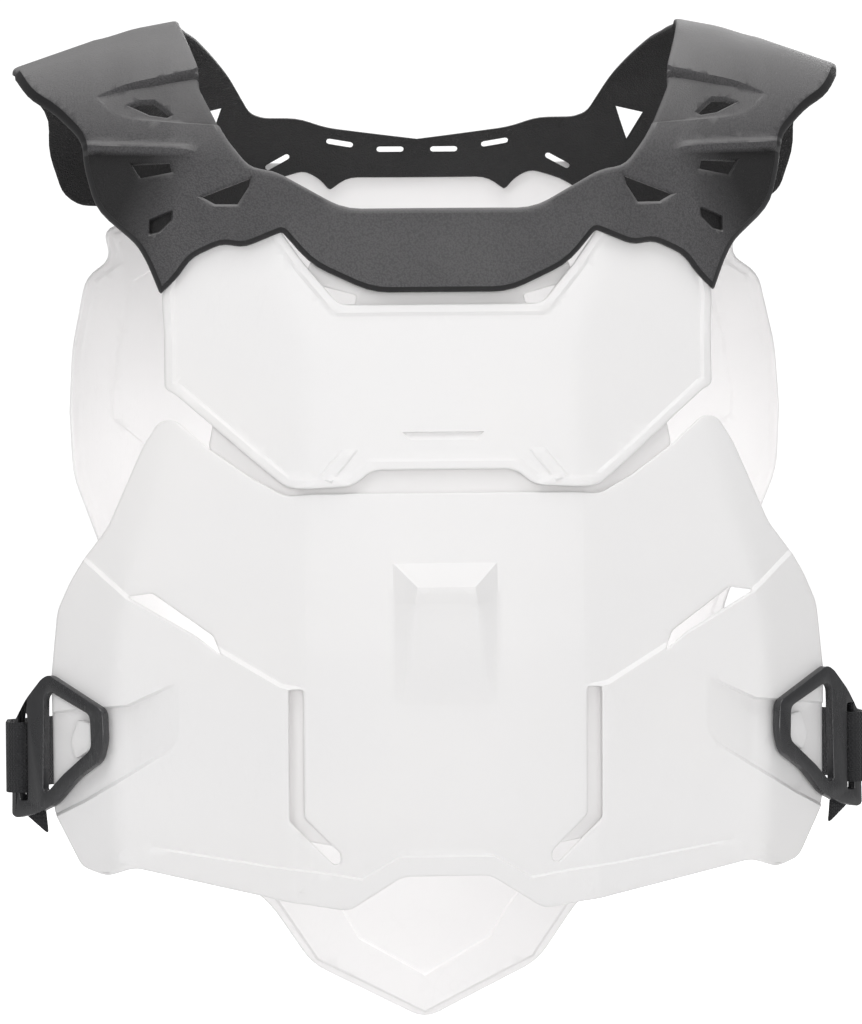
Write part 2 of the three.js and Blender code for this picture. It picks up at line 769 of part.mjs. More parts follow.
const deflector = new THREE.Group();
const hooks = makeHook();
const abdomen = makeAbdomenPlate().add(hooks).add(mirrorX(hooks));
const buckle = makeBuckle();
const strap = makeStrap();
deflector.add(
  node('collar', makeCollar(), rubber),
  node('chest_plate', makeChestPlate(), white),
  node('abdomen_plate', abdomen, white),
  node('inner_frame', makeInnerFrame(), softWhite),
  node('back_plate', makeBackPlate(), white),
  node('buckle_right', buckle, black),
  node('buckle_left', mirrorX(buckle), black),
  node('strap_right', strap, webbing),
  node('strap_left', mirrorX(strap), webbing),
);

export default deflector;
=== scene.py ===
# Roost deflector: white moulded chest and back plates under a black rubber collar
import bpy
import bmesh
from math import sin, cos, asin, atan2, pi, sqrt, radians, hypot, floor
from mathutils import Vector, Matrix


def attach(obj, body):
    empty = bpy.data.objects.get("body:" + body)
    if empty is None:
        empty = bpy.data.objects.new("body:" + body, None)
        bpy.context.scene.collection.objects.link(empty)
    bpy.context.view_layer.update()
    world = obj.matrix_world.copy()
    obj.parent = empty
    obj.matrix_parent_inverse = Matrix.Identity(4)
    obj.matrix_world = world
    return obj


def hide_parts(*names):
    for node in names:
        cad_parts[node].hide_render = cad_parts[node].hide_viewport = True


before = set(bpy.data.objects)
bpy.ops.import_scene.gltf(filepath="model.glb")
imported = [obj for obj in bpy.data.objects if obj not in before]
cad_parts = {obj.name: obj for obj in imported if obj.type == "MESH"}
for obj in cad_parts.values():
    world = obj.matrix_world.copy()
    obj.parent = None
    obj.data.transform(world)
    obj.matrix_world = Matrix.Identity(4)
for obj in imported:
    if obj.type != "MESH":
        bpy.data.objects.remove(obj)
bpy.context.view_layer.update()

scene = bpy.context.scene
mm = 0.001


# The torso that the plates wrap, in millimetres: +Z up, front towards -Y
torso = {
    "frontDepth": 132, "frontHalfWidth": 228, "frontHeight": 450,
    "backDepth": 123, "backRound": 105, "backSweep": 196, "backTop": 52.5, "backHeight": 471.7,
    # down, fold line, side line, then how far out the middle, fold, side and edge stand
    "frontRows": [
        (0.10, 0.400, 0.585, 0.740, 0.690, 0.610, 0.22),
        (0.20, 0.388, 0.590, 0.790, 0.745, 0.640, 0.22),
        (0.30, 0.342, 0.598, 0.870, 0.825, 0.665, 0.24),
        (0.355, 0.296, 0.595, 0.905, 0.870, 0.680, 0.25),
        (0.44, 0.298, 0.592, 0.945, 0.905, 0.700, 0.26),
        (0.52, 0.301, 0.635, 0.970, 0.925, 0.700, 0.26),
        (0.61, 0.305, 0.697, 0.990, 0.940, 0.682, 0.25),
        (0.70, 0.309, 0.724, 0.985, 0.935, 0.667, 0.25),
        (0.90, 0.316, 0.724, 0.925, 0.865, 0.667, 0.25),
        (1.02, 0.316, 0.700, 0.860, 0.805, 0.620, 0.22),
    ],
    "spineRows": [(0, -0.045), (0.2, 0), (0.45, -0.03), (0.65, -0.065), (0.85, -0.045), (1.1, -0.02)],
    "foldRound": 2.0,
}
gaps = {"seat": 0.3, "collar": 0.6, "rear": 0.8, "rim": 1.5, "wall": 2.5}
rimRings = [0.2, 0.35, 0.6]  # widths of the face rings that round an edge
rimRadius = 1.15
innerRise = 0.5  # the inner side's rim, as a share of the outer side's drop
# how flat sheets are laid out: angles in radians, distances in millimetres
sheet = {
    "cornerShare": 0.45, "straight": 0.12, "sharp": 1.05,  # corners: share of a side, angles that count
    "leastSpread": 0.4, "leastEdge": 0.02,  # rings: limit at sharp corners, share of an edge that must stay
    "near": 0.02, "cutNear": 0.05,  # corners nearer to a cut than this lie on it
    "cutBand": 5, "cutPast": 2.8,  # faces that a cut takes in, beside and past its line
    "slopeReach": 2,
}


def between(rows, down, column):
    if down <= rows[0][0]:
        return rows[0][column]
    for a, b in zip(rows, rows[1:]):
        if down <= b[0]:
            return a[column] + (b[column] - a[column]) * (down - a[0]) / (b[0] - a[0])
    return rows[-1][column]


def frontAt(x, z):
    rows, half = torso["frontRows"], torso["frontHalfWidth"]
    down = -z / torso["frontHeight"]
    fold, middle, folded = (between(rows, down, column) for column in (1, 3, 4))
    if abs(x) < fold * half:  # the middle panel is gently round
        return (middle + (folded - middle) * (x / (fold * half)) ** 2) * torso["frontDepth"]
    knots = [(fold * half, folded),
             (between(rows, down, 2) * half, between(rows, down, 5)),
             (half, between(rows, down, 6))]
    return between(knots, abs(x), 1) * torso["frontDepth"]


def frontSoft(x, z):  # the folds rounded over a few millimetres
    r = torso["foldRound"]
    near = [frontAt(x - r, z), frontAt(x + r, z), frontAt(x, z - 4 * r), frontAt(x, z + 4 * r)]
    return (2 * frontAt(x, z) + sum(near)) / 6


def backAt(x, z):
    lean = between(torso["spineRows"], (-z - torso["backTop"]) / torso["backHeight"], 1) * torso["backDepth"]
    share = min(1, abs(x) / torso["backSweep"])
    return torso["backDepth"] - torso["backRound"] + lean + torso["backRound"] * sqrt(1 - share * share)


def easeUp(value):
    value = max(0, min(1, value))
    return value * value * (3 - 2 * value)


def places(piece, key):
    width, top, height = piece["halfWidth"], piece["top"], piece["height"]
    return [(across * width, -top - down * height) for across, down in piece[key]]


def bothSides(half):
    return half + [(-x, z) for x, z in reversed(half) if x > 0]


def otherSide(path):
    return [(-x, z) for x, z in reversed(path)]


def roundCorners(outline, radius, steps=4, sharpRadius=None):
    made = []
    for k, (x, z) in enumerate(outline):
        here = Vector((x, z))
        before, after = Vector(outline[k - 1]) - here, Vector(outline[(k + 1) % len(outline)]) - here
        turn = before.angle(-after, 0)
        sharp = sharpRadius is not None and turn > sheet["sharp"]
        most = sheet["cornerShare"] * min(before.length, after.length)
        reach = min(sharpRadius if sharp else radius, most)
        a, b = here + before.normalized() * reach, here + after.normalized() * reach
        if turn < sheet["straight"]:
            made.append((x, z))
            continue
        for step in range(steps + 1):
            t = step / steps
            spot = a * (1 - t) ** 2 + here * 2 * t * (1 - t) + b * t * t
            made.append((spot.x, spot.y))
    return made


def insideBy(x, z, outline):  # distance to the outline, positive inside
    best, inside = 1e9, False
    for k, (ax, az) in enumerate(outline):
        bx, bz = outline[(k + 1) % len(outline)]
        dx, dz = bx - ax, bz - az
        length = dx * dx + dz * dz
        if length < 1e-12:
            continue
        t = max(0, min(1, ((x - ax) * dx + (z - az) * dz) / length))
        best = min(best, hypot(x - ax - t * dx, z - az - t * dz))
        if (az > z) != (bz > z) and x < ax + (z - az) / dz * dx:
            inside = not inside
    return best if inside else -best


def awayFrom(x, z, path):  # distance to an open path
    best = 1e9
    for (ax, az), (bx, bz) in zip(path, path[1:]):
        dx, dz = bx - ax, bz - az
        t = max(0, min(1, ((x - ax) * dx + (z - az) * dz) / (dx * dx + dz * dz)))
        best = min(best, hypot(x - ax - t * dx, z - az - t * dz))
    return best


def riseIn(x, z, path, slope):  # 0 outside, 1 once the slope is past
    return easeUp(insideBy(x, z, path) / slope)


def wholeOf(bm):
    return bm.verts[:] + bm.edges[:] + bm.faces[:]


def newVerts(grown):
    return [v for v in grown["geom"] if isinstance(v, bmesh.types.BMVert)]


# Flat sheets in front view, with rings of faces along every edge, cut to a grid and bent to shape
def insetRing(bm, ring, distance, depth, levels, bandMark):
    count = len(ring)
    spots = []
    for k, v in enumerate(ring):
        a = (v.co - ring[k - 1].co).normalized()
        b = (ring[(k + 1) % count].co - v.co).normalized()
        inward = Vector((-a.z - b.z, 0, a.x + b.x)).normalized()
        spread = max(sheet["leastSpread"], inward.dot(Vector((-b.z, 0, b.x))))
        spots.append([v.co + inward * distance / spread, k, k])
    merging = True
    while merging and len(spots) > 3:
        merging = False
        for k in range(len(spots)):
            here, after = spots[k], spots[(k + 1) % len(spots)]
            edge = ring[after[1]].co - ring[here[2]].co
            left = (after[0] - here[0]).dot(edge)
            if left <= sheet["leastEdge"] * edge.length_squared and k + 1 < len(spots):
                spots[k:k + 2] = [[(here[0] + after[0]) / 2, here[1], after[2]]]
                merging = True
                break
    nextRing = []
    owner = {}
    for spot, first, last in spots:
        v = bm.verts.new(spot)
        v[levels] = depth
        nextRing.append(v)
        for k in range(first, last + 1):
            owner[k] = v
    for k in range(count):
        a, b = ring[k], ring[(k + 1) % count]
        c, d = owner[(k + 1) % count], owner[k]
        face = bm.faces.new((a, b, c) if c is d else (a, b, c, d))
        face[bandMark] = 1
    return nextRing


def flatSheet(outline, holes=(), cell=4.5, rings=(), holeRings=None):
    bm = bmesh.new()
    levels = bm.verts.layers.float.new("depth")
    bandMark = bm.faces.layers.int.new("band")
    border = []
    for k, loop in enumerate([outline, *holes]):
        area = sum(a[0] * b[1] - b[0] * a[1] for a, b in zip(loop, loop[1:] + loop[:1]))
        ordered = loop if (area > 0) == (k == 0) else loop[::-1]
        ring = [bm.verts.new((x, 0, z)) for x, z in ordered]
        widths = rings if k == 0 or holeRings is None else holeRings
        for j, width in enumerate(widths):
            depth = sum(rings) if j + 1 == len(widths) else sum(widths[:j + 1])
            ring = insetRing(bm, ring, width, depth, levels, bandMark)
        for a, b in zip(ring, ring[1:] + ring[:1]):
            border.append(bm.edges.get((a, b)) or bm.edges.new((a, b)))
    bmesh.ops.triangle_fill(bm, use_beauty=True, use_dissolve=False, edges=border, normal=(0, -1, 0))
    xs, zs = [v.co.x for v in bm.verts], [v.co.z for v in bm.verts]
    for low, high, axis in ((min(xs), max(xs), 0), (min(zs), max(zs), 2)):
        for k in range(floor(low / cell), floor(high / cell) + 1):
            spot, along = Vector((0, 0, 0)), Vector((0, 0, 0))
            spot[axis], along[axis] = (k + 0.5) * cell, 1
            bmesh.ops.bisect_plane(bm, geom=wholeOf(bm), dist=sheet["near"], plane_co=spot, plane_no=along)
    slanted = []
    for e in bm.edges:
        along = e.verts[0].co - e.verts[1].co
        if (len(e.link_faces) == 2 and not any(f[bandMark] for f in e.link_faces)
                and min(abs(along.x), abs(along.z)) > sheet["near"]):
            slanted.append(e)
    bmesh.ops.dissolve_edges(bm, edges=slanted, use_verts=False)
    bm.normal_update()
    turned = [f for f in bm.faces if f.normal.y > 0]
    bmesh.ops.reverse_faces(bm, faces=turned)
    return bm


def cutAlong(bm, path, offsets=(0,), closed=True):
    lines = list(zip(path, path[1:] + path[:1])) if closed else list(zip(path, path[1:]))
    area = sum(a[0] * b[1] - b[0] * a[1] for a, b in lines) if closed else 1
    for start, end in [(Vector((a[0], 0, a[1])), Vector((b[0], 0, b[1]))) for a, b in lines]:
        along = end - start
        if along.length < 1e-6:
            continue
        half = along.length / 2
        along.normalize()
        inward = Vector((-along.z, 0, along.x)) * (1 if area > 0 else -1)
        for offset in offsets:
            middle = (start + end) / 2 + inward * offset
            near = []
            for f in bm.faces:
                away = f.calc_center_median() - middle
                if (abs(away.dot(inward)) < sheet["cutBand"]
                        and abs(away.dot(along)) < half + sheet["cutPast"]):
                    near.append(f)
            touched = list({v for f in near for v in f.verts}) + list({e for f in near for e in f.edges})
            bmesh.ops.bisect_plane(bm, geom=touched + near, dist=sheet["cutNear"], plane_co=middle,
                                   plane_no=inward)


def rimDrop(distance, radius):
    if distance >= radius:
        return 0
    return radius - sqrt(radius * radius - (radius - distance) ** 2)


def slopeAt(surface, x, z):
    reach = sheet["slopeReach"]
    return (surface(x + reach, z) - surface(x - reach, z)) / (2 * reach)


def addInnerSide(bm):  # each corner holds its way to the inner side in "under"
    grown = bmesh.ops.extrude_face_region(bm, geom=bm.faces[:])
    under = bm.verts.layers.float_vector["under"]
    for v in newVerts(grown):
        v.co += v[under]
    bmesh.ops.recalc_face_normals(bm, faces=bm.faces[:])


def finishPiece(name, bm, slotName, *nodes, smooth=35):
    bmesh.ops.scale(bm, vec=(mm, mm, mm), verts=bm.verts[:])
    bm.normal_update()
    mesh = bpy.data.meshes.new(name)
    bm.to_mesh(mesh)
    bm.free()
    piece = bpy.data.objects.new(name, mesh)
    scene.collection.objects.link(piece)
    mesh.shade_smooth()
    if smooth:
        mesh.set_sharp_from_angle(angle=radians(smooth))
    mesh.materials.append(materials[slotName])
    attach(piece, "root")
    if nodes:
        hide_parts(*nodes)
    print("made", name, len(mesh.vertices), "corners")
    return piece


# Shader groups that several finishes use
def add(tree, kind, values=None, **settings):
    node = tree.nodes.new(kind)
    for key, value in settings.items():
        setattr(node, key, value)
    for key, value in (values or {}).items():
        node.inputs[key].default_value = value
    return node


def feed(tree, value, socket):  # a number, a colour or a link
    if isinstance(value, (int, float)):
        socket.default_value = value
    elif isinstance(value, tuple):
        socket.default_value = (*value, 1)
    elif value is not None:
        tree.links.new(value, socket)


def mathNode(tree, operation, a, b=None, clamp=False):
    node = add(tree, "ShaderNodeMath", operation=operation, use_clamp=clamp)
    feed(tree, a, node.inputs[0])
    feed(tree, b, node.inputs[1])
    return node.outputs[0]


def product(tree, total, *factors):
    for factor in factors:
        total = mathNode(tree, "MULTIPLY", total, factor)
    return total


def remainder(tree, value, share=1.0):  # what is left of one
    return mathNode(tree, "SUBTRACT", 1.0, product(tree, value, share))


def mapRange(tree, value, low, high, toLow=0.0, toHigh=1.0):
    limits = {"From Min": low, "From Max": high, "To Min": toLow, "To Max": toHigh}
    node = add(tree, "ShaderNodeMapRange", limits)
    feed(tree, value, node.inputs["Value"])
    return node.outputs["Result"]


def noiseAt(tree, vector, scale, **values):
    node = add(tree, "ShaderNodeTexNoise", values)
    feed(tree, vector, node.inputs["Vector"])
    feed(tree, scale, node.inputs["Scale"])
    return node.outputs["Fac"]


def newGroup(name, values, outputs):  # every group reads a Vector besides its values
    group = bpy.data.node_groups.new(name, "ShaderNodeTree")
    group.interface.new_socket("Vector", in_out="INPUT", socket_type="NodeSocketVector")
    for label, value in values.items():
        socket = group.interface.new_socket(label, in_out="INPUT", socket_type="NodeSocketFloat")
        socket.default_value = value
    for label in outputs:
        group.interface.new_socket(label, in_out="OUTPUT", socket_type="NodeSocketFloat")
    return group, group.nodes.new("NodeGroupInput").outputs, group.nodes.new("NodeGroupOutput").inputs


def makeGrainGroup():  # pebbled moulding grain: height and a darker pit mask
    group, start, end = newGroup("pebble grain", {"Scale": 900}, ["Height", "Pits"])
    cells = add(group, "ShaderNodeTexVoronoi", feature="F1")
    feed(group, start["Vector"], cells.inputs["Vector"])
    feed(group, start["Scale"], cells.inputs["Scale"])
    fine = noiseAt(group, start["Vector"], product(group, start["Scale"], 1.9), Detail=3, Roughness=0.6)
    mound = remainder(group, cells.outputs["Distance"])
    feed(group, mathNode(group, "ADD", mound, product(group, fine, 0.45)), end["Height"])
    feed(group, mapRange(group, cells.outputs["Distance"], 0.35, 0.75), end["Pits"])
    return group


def makeFineGroup():  # faint texture of a polished mould
    group, start, end = newGroup("fine texture", {"Scale": 1200}, ["Height"])
    feed(group, noiseAt(group, start["Vector"], start["Scale"], Detail=1, Roughness=0.6), end["Height"])
    return group


def makeCloudGroup():  # broad uneven tone of a moulded surface
    group, start, end = newGroup("moulded tone", {"Scale": 12, "Amount": 0.1}, ["Tone"])
    broad = noiseAt(group, start["Vector"], start["Scale"], Detail=2, Roughness=0.55, Distortion=0.4)
    spread = product(group, mathNode(group, "SUBTRACT", broad, 0.5), start["Amount"])
    feed(group, mathNode(group, "ADD", spread, 0.5), end["Tone"])
    return group


def makeScuffGroup():  # thin crossing scuffs, stretched by direction
    group, start, end = newGroup("scuffs", {"Scale": 60, "Cover": 0.5}, ["Mask"])
    total = 0.0
    for turn, stretch in ((0.6, (1, 14, 1)), (-0.9, (1, 11, 1)), (0.1, (16, 1, 1))):
        place = add(group, "ShaderNodeMapping", {"Rotation": (turn, turn * 0.7, turn), "Scale": stretch})
        feed(group, start["Vector"], place.inputs["Vector"])
        hair = noiseAt(group, place.outputs["Vector"], start["Scale"], Detail=1)
        away = mathNode(group, "ABSOLUTE", mathNode(group, "SUBTRACT", hair, 0.5))
        total = mathNode(group, "MAXIMUM", total, mapRange(group, away, 0.0, 0.012, 1.0, 0.0))
    shown = mapRange(group, noiseAt(group, start["Vector"], 9, Detail=1), 0.5, 0.68)
    feed(group, product(group, total, shown, start["Cover"]), end["Mask"])
    return group


groups = {"grain": makeGrainGroup(), "fine": makeFineGroup(), "cloud": makeCloudGroup(),
          "scuff": makeScuffGroup()}


def startMaterial(name, look):
    material = bpy.data.materials.new(name)
    material.use_nodes = True
    material.diffuse_color = (*look["colour"], 1)
    tree = material.node_tree
    return material, tree, add(tree, "ShaderNodeTexCoord").outputs


def useGroup(tree, key, place, **values):
    node = add(tree, "ShaderNodeGroup")
    node.node_tree = groups[key]
    for label, value in {"Vector": place["Object"], **values}.items():
        feed(tree, value, node.inputs[label])
    return node.outputs


def blendColour(tree, factor, a, b):
    node = add(tree, "ShaderNodeMix", data_type="RGBA")
    feed(tree, factor, node.inputs["Factor"])
    feed(tree, a, node.inputs[6])  # the colour sockets, which share their names with the plain ones
    feed(tree, b, node.inputs[7])
    return node.outputs[2]


def splitVector(tree, vector):
    node = add(tree, "ShaderNodeSeparateXYZ")
    feed(tree, vector, node.inputs[0])
    return node.outputs


def aroundRough(tree, tone, look):
    low, high = look["rough"] - look["roughDown"], look["rough"] + look["roughUp"]
    return mapRange(tree, tone, 0.25, 0.75, low, high)


def finishMaterial(material, look, colour, rough, height, others):
    tree = material.node_tree
    bump = add(tree, "ShaderNodeBump", {"Strength": look["bump"], "Distance": look["bumpDepth"]})
    feed(tree, height, bump.inputs["Height"])
    made = {"Base Color": colour, "Roughness": rough, "Normal": bump.outputs["Normal"], **others}
    for label, value in made.items():
        feed(tree, value, tree.nodes["Principled BSDF"].inputs[label])
    return material


def makeShell(name, look):
    material, tree, place = startMaterial(name, look)
    tone = useGroup(tree, "cloud", place, Scale=look["cloudScale"], Amount=1.0)["Tone"]
    colour = blendColour(tree, tone, look["colour"], look["second"])
    if "rearColour" in look:  # painted light: the back plate is painted a lighter white than the front, which lifts the shade it lies in behind the front plates
        rear = mapRange(tree, splitVector(tree, place["Object"])["Y"], 0.0, 0.03)
        colour = blendColour(tree, rear, colour, look["rearColour"])
    scuff = useGroup(tree, "scuff", place, Scale=look["scuffScale"], Cover=look["scuffs"])["Mask"]
    colour = blendColour(tree, scuff, colour, look["scuffColour"])
    rough = mathNode(tree, "ADD", aroundRough(tree, tone, look), product(tree, scuff, 0.2), clamp=True)
    height = useGroup(tree, "fine", place, Scale=look["grainScale"])["Height"]
    return finishMaterial(material, look, colour, rough, height, {"Specular IOR Level": look["specular"]})


def makeRubber(name, look):
    material, tree, place = startMaterial(name, look)
    marks = {"attribute_type": "GEOMETRY"}
    rim = add(tree, "ShaderNodeAttribute", attribute_name="rim", **marks).outputs["Fac"]
    shade = add(tree, "ShaderNodeAttribute", attribute_name="shade", **marks).outputs["Fac"]
    # painted light: faces that look up are painted a lighter grey, as if lit from above; the same mask also
    # flattens the grain bump
    upward = mapRange(tree, splitVector(tree, place["Normal"])["Z"], 0.2, 0.8)
    tone = useGroup(tree, "cloud", place, Scale=look["cloudScale"], Amount=1.2)["Tone"]
    grain = useGroup(tree, "grain", place, Scale=look["grainScale"])
    pitted = product(tree, grain["Pits"], remainder(tree, rim))
    # painted shade: the inner side, where the normal points back to the line between the shoulders, is
    # painted darker as if in the collar's shade
    spot = add(tree, "ShaderNodeVectorMath", {1: (0, 1, 1), 2: (0, 0, 0.088)}, operation="MULTIPLY_ADD")
    facing = add(tree, "ShaderNodeVectorMath", operation="DOT_PRODUCT")
    feed(tree, place["Object"], spot.inputs[0])
    feed(tree, spot.outputs[0], facing.inputs[0])
    feed(tree, place["Normal"], facing.inputs[1])
    inner = mapRange(tree, facing.outputs["Value"], 0.004, -0.02)
    scuff = useGroup(tree, "scuff", place, Scale=look["scuffScale"], Cover=look["scuffs"])["Mask"]
    colour = blendColour(tree, tone, look["colour"], look["second"])
    # colour tints: pits and scuffs are the rubber's own marks; the lighter top is painted light, the shade
    # and inner tints are painted shade, and the rim tint is the smooth black rim with painted shade
    for factor, strength, tint in ((pitted, 0.5, "pits"), (upward, 0.85, "topColour"),
                                   (shade, 1.0, "innerColour"), (rim, 1.0, "rimColour"),
                                   (inner, 1.0, "innerColour"), (scuff, 1.0, "scuffColour")):
        colour = blendColour(tree, product(tree, factor, strength), colour, look[tint])
    rough = mathNode(tree, "SUBTRACT", aroundRough(tree, tone, look), product(tree, rim, 0.16), clamp=True)
    plain = product(tree, remainder(tree, rim, 0.92), remainder(tree, upward, 0.5))
    height = product(tree, grain["Height"], plain)
    return finishMaterial(material, look, colour, rough, height, {"Specular IOR Level": look["specular"]})


def makeWebbing(name, look):
    material, tree, place = startMaterial(name, look)
    parts = splitVector(tree, add(tree, "ShaderNodeUVMap", uv_map="strap").outputs["UV"])
    rib = mathNode(tree, "SINE", product(tree, parts["Y"], look["ribs"] * 2 * pi))
    shift = product(tree, mathNode(tree, "SIGN", rib), 0.25)
    along = mathNode(tree, "ADD", parts["X"], shift)
    pick = mathNode(tree, "SINE", product(tree, along, look["picks"] * 2 * pi))
    weave = product(tree, mathNode(tree, "ADD", mathNode(tree, "ABSOLUTE", rib), pick), 0.5)
    fuzz = useGroup(tree, "cloud", place, Scale=look["fuzzScale"], Amount=1.0)["Tone"]
    colour = blendColour(tree, mapRange(tree, weave, -0.2, 0.9), look["gaps"], look["colour"])
    colour = blendColour(tree, fuzz, colour, look["second"])
    rough = mapRange(tree, fuzz, 0.2, 0.8, look["rough"] - 0.08, look["rough"] + 0.08)
    sheen = {"Sheen Weight": 0.06, "Sheen Roughness": 0.5}
    return finishMaterial(material, look, colour, rough, weave, sheen)


looks = {
    "shell_white": {
        "colour": (0.82, 0.807, 0.80), "second": (0.795, 0.79, 0.795), "rearColour": (0.87, 0.858, 0.858),
        "scuffColour": (0.74, 0.73, 0.725), "rough": 0.52, "roughDown": 0.05, "roughUp": 0.06,
        "cloudScale": 9, "grainScale": 1500, "bump": 0.06, "bumpDepth": 0.0002, "scuffScale": 40,
        "scuffs": 0.16, "specular": 0.22,
    },
    "frame_white": {
        "colour": (0.84, 0.825, 0.82), "second": (0.81, 0.80, 0.80), "scuffColour": (0.76, 0.75, 0.745),
        "rough": 0.48, "roughDown": 0.05, "roughUp": 0.06, "cloudScale": 12, "grainScale": 1100,
        "bump": 0.1, "bumpDepth": 0.0002, "scuffScale": 50, "scuffs": 0.1, "specular": 0.32,
    },
    "collar_rubber": {
        "colour": (0.086, 0.084, 0.086), "second": (0.067, 0.065, 0.068), "pits": (0.030, 0.029, 0.032),
        "topColour": (0.24, 0.236, 0.237), "rimColour": (0.010, 0.0095, 0.0105),
        "innerColour": (0.012, 0.0115, 0.012), "scuffColour": (0.16, 0.158, 0.16), "rough": 0.56,
        "roughDown": 0.06, "roughUp": 0.06, "cloudScale": 22, "grainScale": 1050, "bump": 0.8,
        "bumpDepth": 0.0004, "scuffScale": 55, "scuffs": 0.3, "specular": 0.36,
    },
    "buckle_black": {
        "colour": (0.011, 0.011, 0.013), "second": (0.017, 0.017, 0.019), "scuffColour": (0.10, 0.10, 0.10),
        "rough": 0.27, "roughDown": 0.05, "roughUp": 0.06, "cloudScale": 30, "grainScale": 1400,
        "bump": 0.12, "bumpDepth": 0.0002, "scuffScale": 80, "scuffs": 0.4, "specular": 0.75,
    },
    "webbing_black": {
        "colour": (0.015, 0.015, 0.017), "second": (0.010, 0.010, 0.012), "gaps": (0.004, 0.004, 0.005),
        "rough": 0.8, "ribs": 0.45, "picks": 0.55, "fuzzScale": 300, "bump": 0.7, "bumpDepth": 0.0004,
    },
}
makers = {"shell_white": makeShell, "frame_white": makeShell, "collar_rubber": makeRubber,
          "buckle_black": makeShell, "webbing_black": makeWebbing}
materials = {slot: make(slot, looks[slot]) for slot, make in makers.items()}
print("materials ready")


# Bends a flat sheet to the chest, with the relief and a rounded rim
def shapeFront(bm, proudAt, wall):
    under = bm.verts.layers.float_vector.new("under")
    levels = bm.verts.layers.float["depth"]
    for v in bm.verts:
        x, z = v.co.x, v.co.z
        drop = rimDrop(v[levels], rimRadius)
        v.co.y = -frontSoft(x, z) - proudAt(x, z) + drop
        v[under] = Vector((0, wall * hypot(1, slopeAt(frontAt, x, z)) - (1 + innerRise) * drop, 0))
    addInnerSide(bm)


seamRows = [(0, 0.29, 0), (0.18, 0.29, 0), (0.228, 0.09, 0), (0.346, 0.06, 0), (0.395, 0.08, -0.03),
            (0.480, 0.43, 0.20), (0.594, 0.93, 0.60), (0.675, 1.28, 0.96)]
seam = {"depth": 235, "rise": 40, "halfWidth": 198}


def seamLine(column):  # where the two front plates meet: 1 on the upper, 2 on the lower one
    return [(row[0] * seam["halfWidth"], -seam["depth"] + row[column] * seam["rise"]) for row in seamRows]


chest = {
    "halfWidth": 139.7, "top": 92, "height": 142, "corner": 5, "wall": 2.3, "cell": 4.5,
    "rows": [(0, 0.342), (0.365, 0.342), (0.484, 0.197), (0.569, 0.077), (0.600, 0), (0.945, 0),
             (1.0, 0.303), (0.993, 0.423), (0.993, 0.627)],
    "rimWidth": 4.0, "rimRise": 1.3, "rimStep": 1.8,
    "slot": {"half": 20.6, "lowHalf": 17.0, "top": -204.5, "foot": -208.7, "depth": 1.8, "edge": 0.6,
             "footShare": 0.25},
    # outline, how far out, how wide its slope is
    "facets": [([(42, -213), (51, -213), (63, -227), (56, -230)], 0.9, 1.0),
               ([(46, -230), (53, -226.5), (60, -226), (69, -229), (76, -232), (76, -240), (46, -240)],
                1.3, 2.4)],
}


def makeChest():
    upper = places(chest, "rows")
    rough = bothSides(upper + seamLine(1)[::-1])
    bm = flatSheet(roundCorners(rough, chest["corner"]), (), chest["cell"], rimRings)
    cutAlong(bm, rough, (chest["rimWidth"], chest["rimWidth"] + chest["rimStep"]))
    slot = chest["slot"]
    ledge = [(-slot["lowHalf"], slot["foot"]), (slot["lowHalf"], slot["foot"]),
             (slot["half"], slot["top"]), (-slot["half"], slot["top"])]
    cutAlong(bm, ledge, (0, slot["edge"]))
    facets = chest["facets"] + [(otherSide(path), rise, slope) for path, rise, slope in chest["facets"]]
    for path, rise, slope in facets:
        cutAlong(bm, path, (0, slope))

    def proudAt(x, z):
        pastRim = (insideBy(x, z, rough) - chest["rimWidth"]) / chest["rimStep"]
        out = chest["rimRise"] * (1 - easeUp(pastRim))
        share = (z - slot["foot"]) / (slot["top"] - slot["foot"])
        share = slot["footShare"] + (1 - slot["footShare"]) * share
        out -= slot["depth"] * share * riseIn(x, z, ledge, slot["edge"])
        for path, rise, slope in facets:
            out += rise * riseIn(x, z, path, slope)
        return out

    shapeFront(bm, proudAt, chest["wall"])
    return finishPiece("chest_shell", bm, "shell_white", "chest_plate")


abdomen = {
    "halfWidth": seam["halfWidth"], "top": seam["depth"], "height": 209, "corner": 4, "holeCorner": 1.5,
    "wall": 2.3, "cell": 4.5,
    "rows": [(0.715, -0.180), (0.757, -0.120), (0.851, 0.078), (0.912, 0.150), (0.948, 0.205), (0.983, 0.277),
             (1.0, 0.436), (0.997, 0.768), (0.925, 0.900), (0.862, 0.920), (0.789, 0.897), (0.396, 0.978),
             (0.248, 1.0), (0.111, 0.917), (0, 0.917)],
    "wingTop": [(0.912, 0.150), (0.802, 0.243), (0.626, 0.338), (0.414, 0.457)],
    "gap": [(0.800, 0.243), (0.737, 0.235), (0.584, 0.338), (0.565, 0.383), (0.626, 0.338)],
    "lip": [(0.724, 0.850), (0.459, 0.889), (0.287, 0.911), (0.215, 0.923), (0.119, 0.869), (0, 0.869)],
    "slit": [(0.359, 0.467), (0.396, 0.467), (0.396, 0.783), (0.285, 0.888), (0.268, 0.885), (0.268, 0.862),
             (0.359, 0.775)],
    "wingLift": 2.6, "wingStep": 2.4, "lipLift": 1.8, "step": 1.0,
    "pocket": [(133, -328), (133, -355.5), (138, -363.5), (181, -390), (215, -408), (215, -346), (159, -340)],
    "pocketDepth": 4.4, "pocketSlope": 24, "pocketEdge": 1.4, "pocketFold": (-335, -380),
    "wingRest": [(72, -332.5), (72, -450), (260, -450), (260, -262)],
    "lipRest": [(168, -421), (190, -470), (0, -470)],
    "scoop": {"top": 270, "ledge": 12, "strip": 20, "foot": 71, "half": 26, "innerTop": 14.5, "innerFoot": 22,
              "rise": 9, "stripDrop": 2.0, "stripStep": 0.8, "leastSlope": 0.5},
}


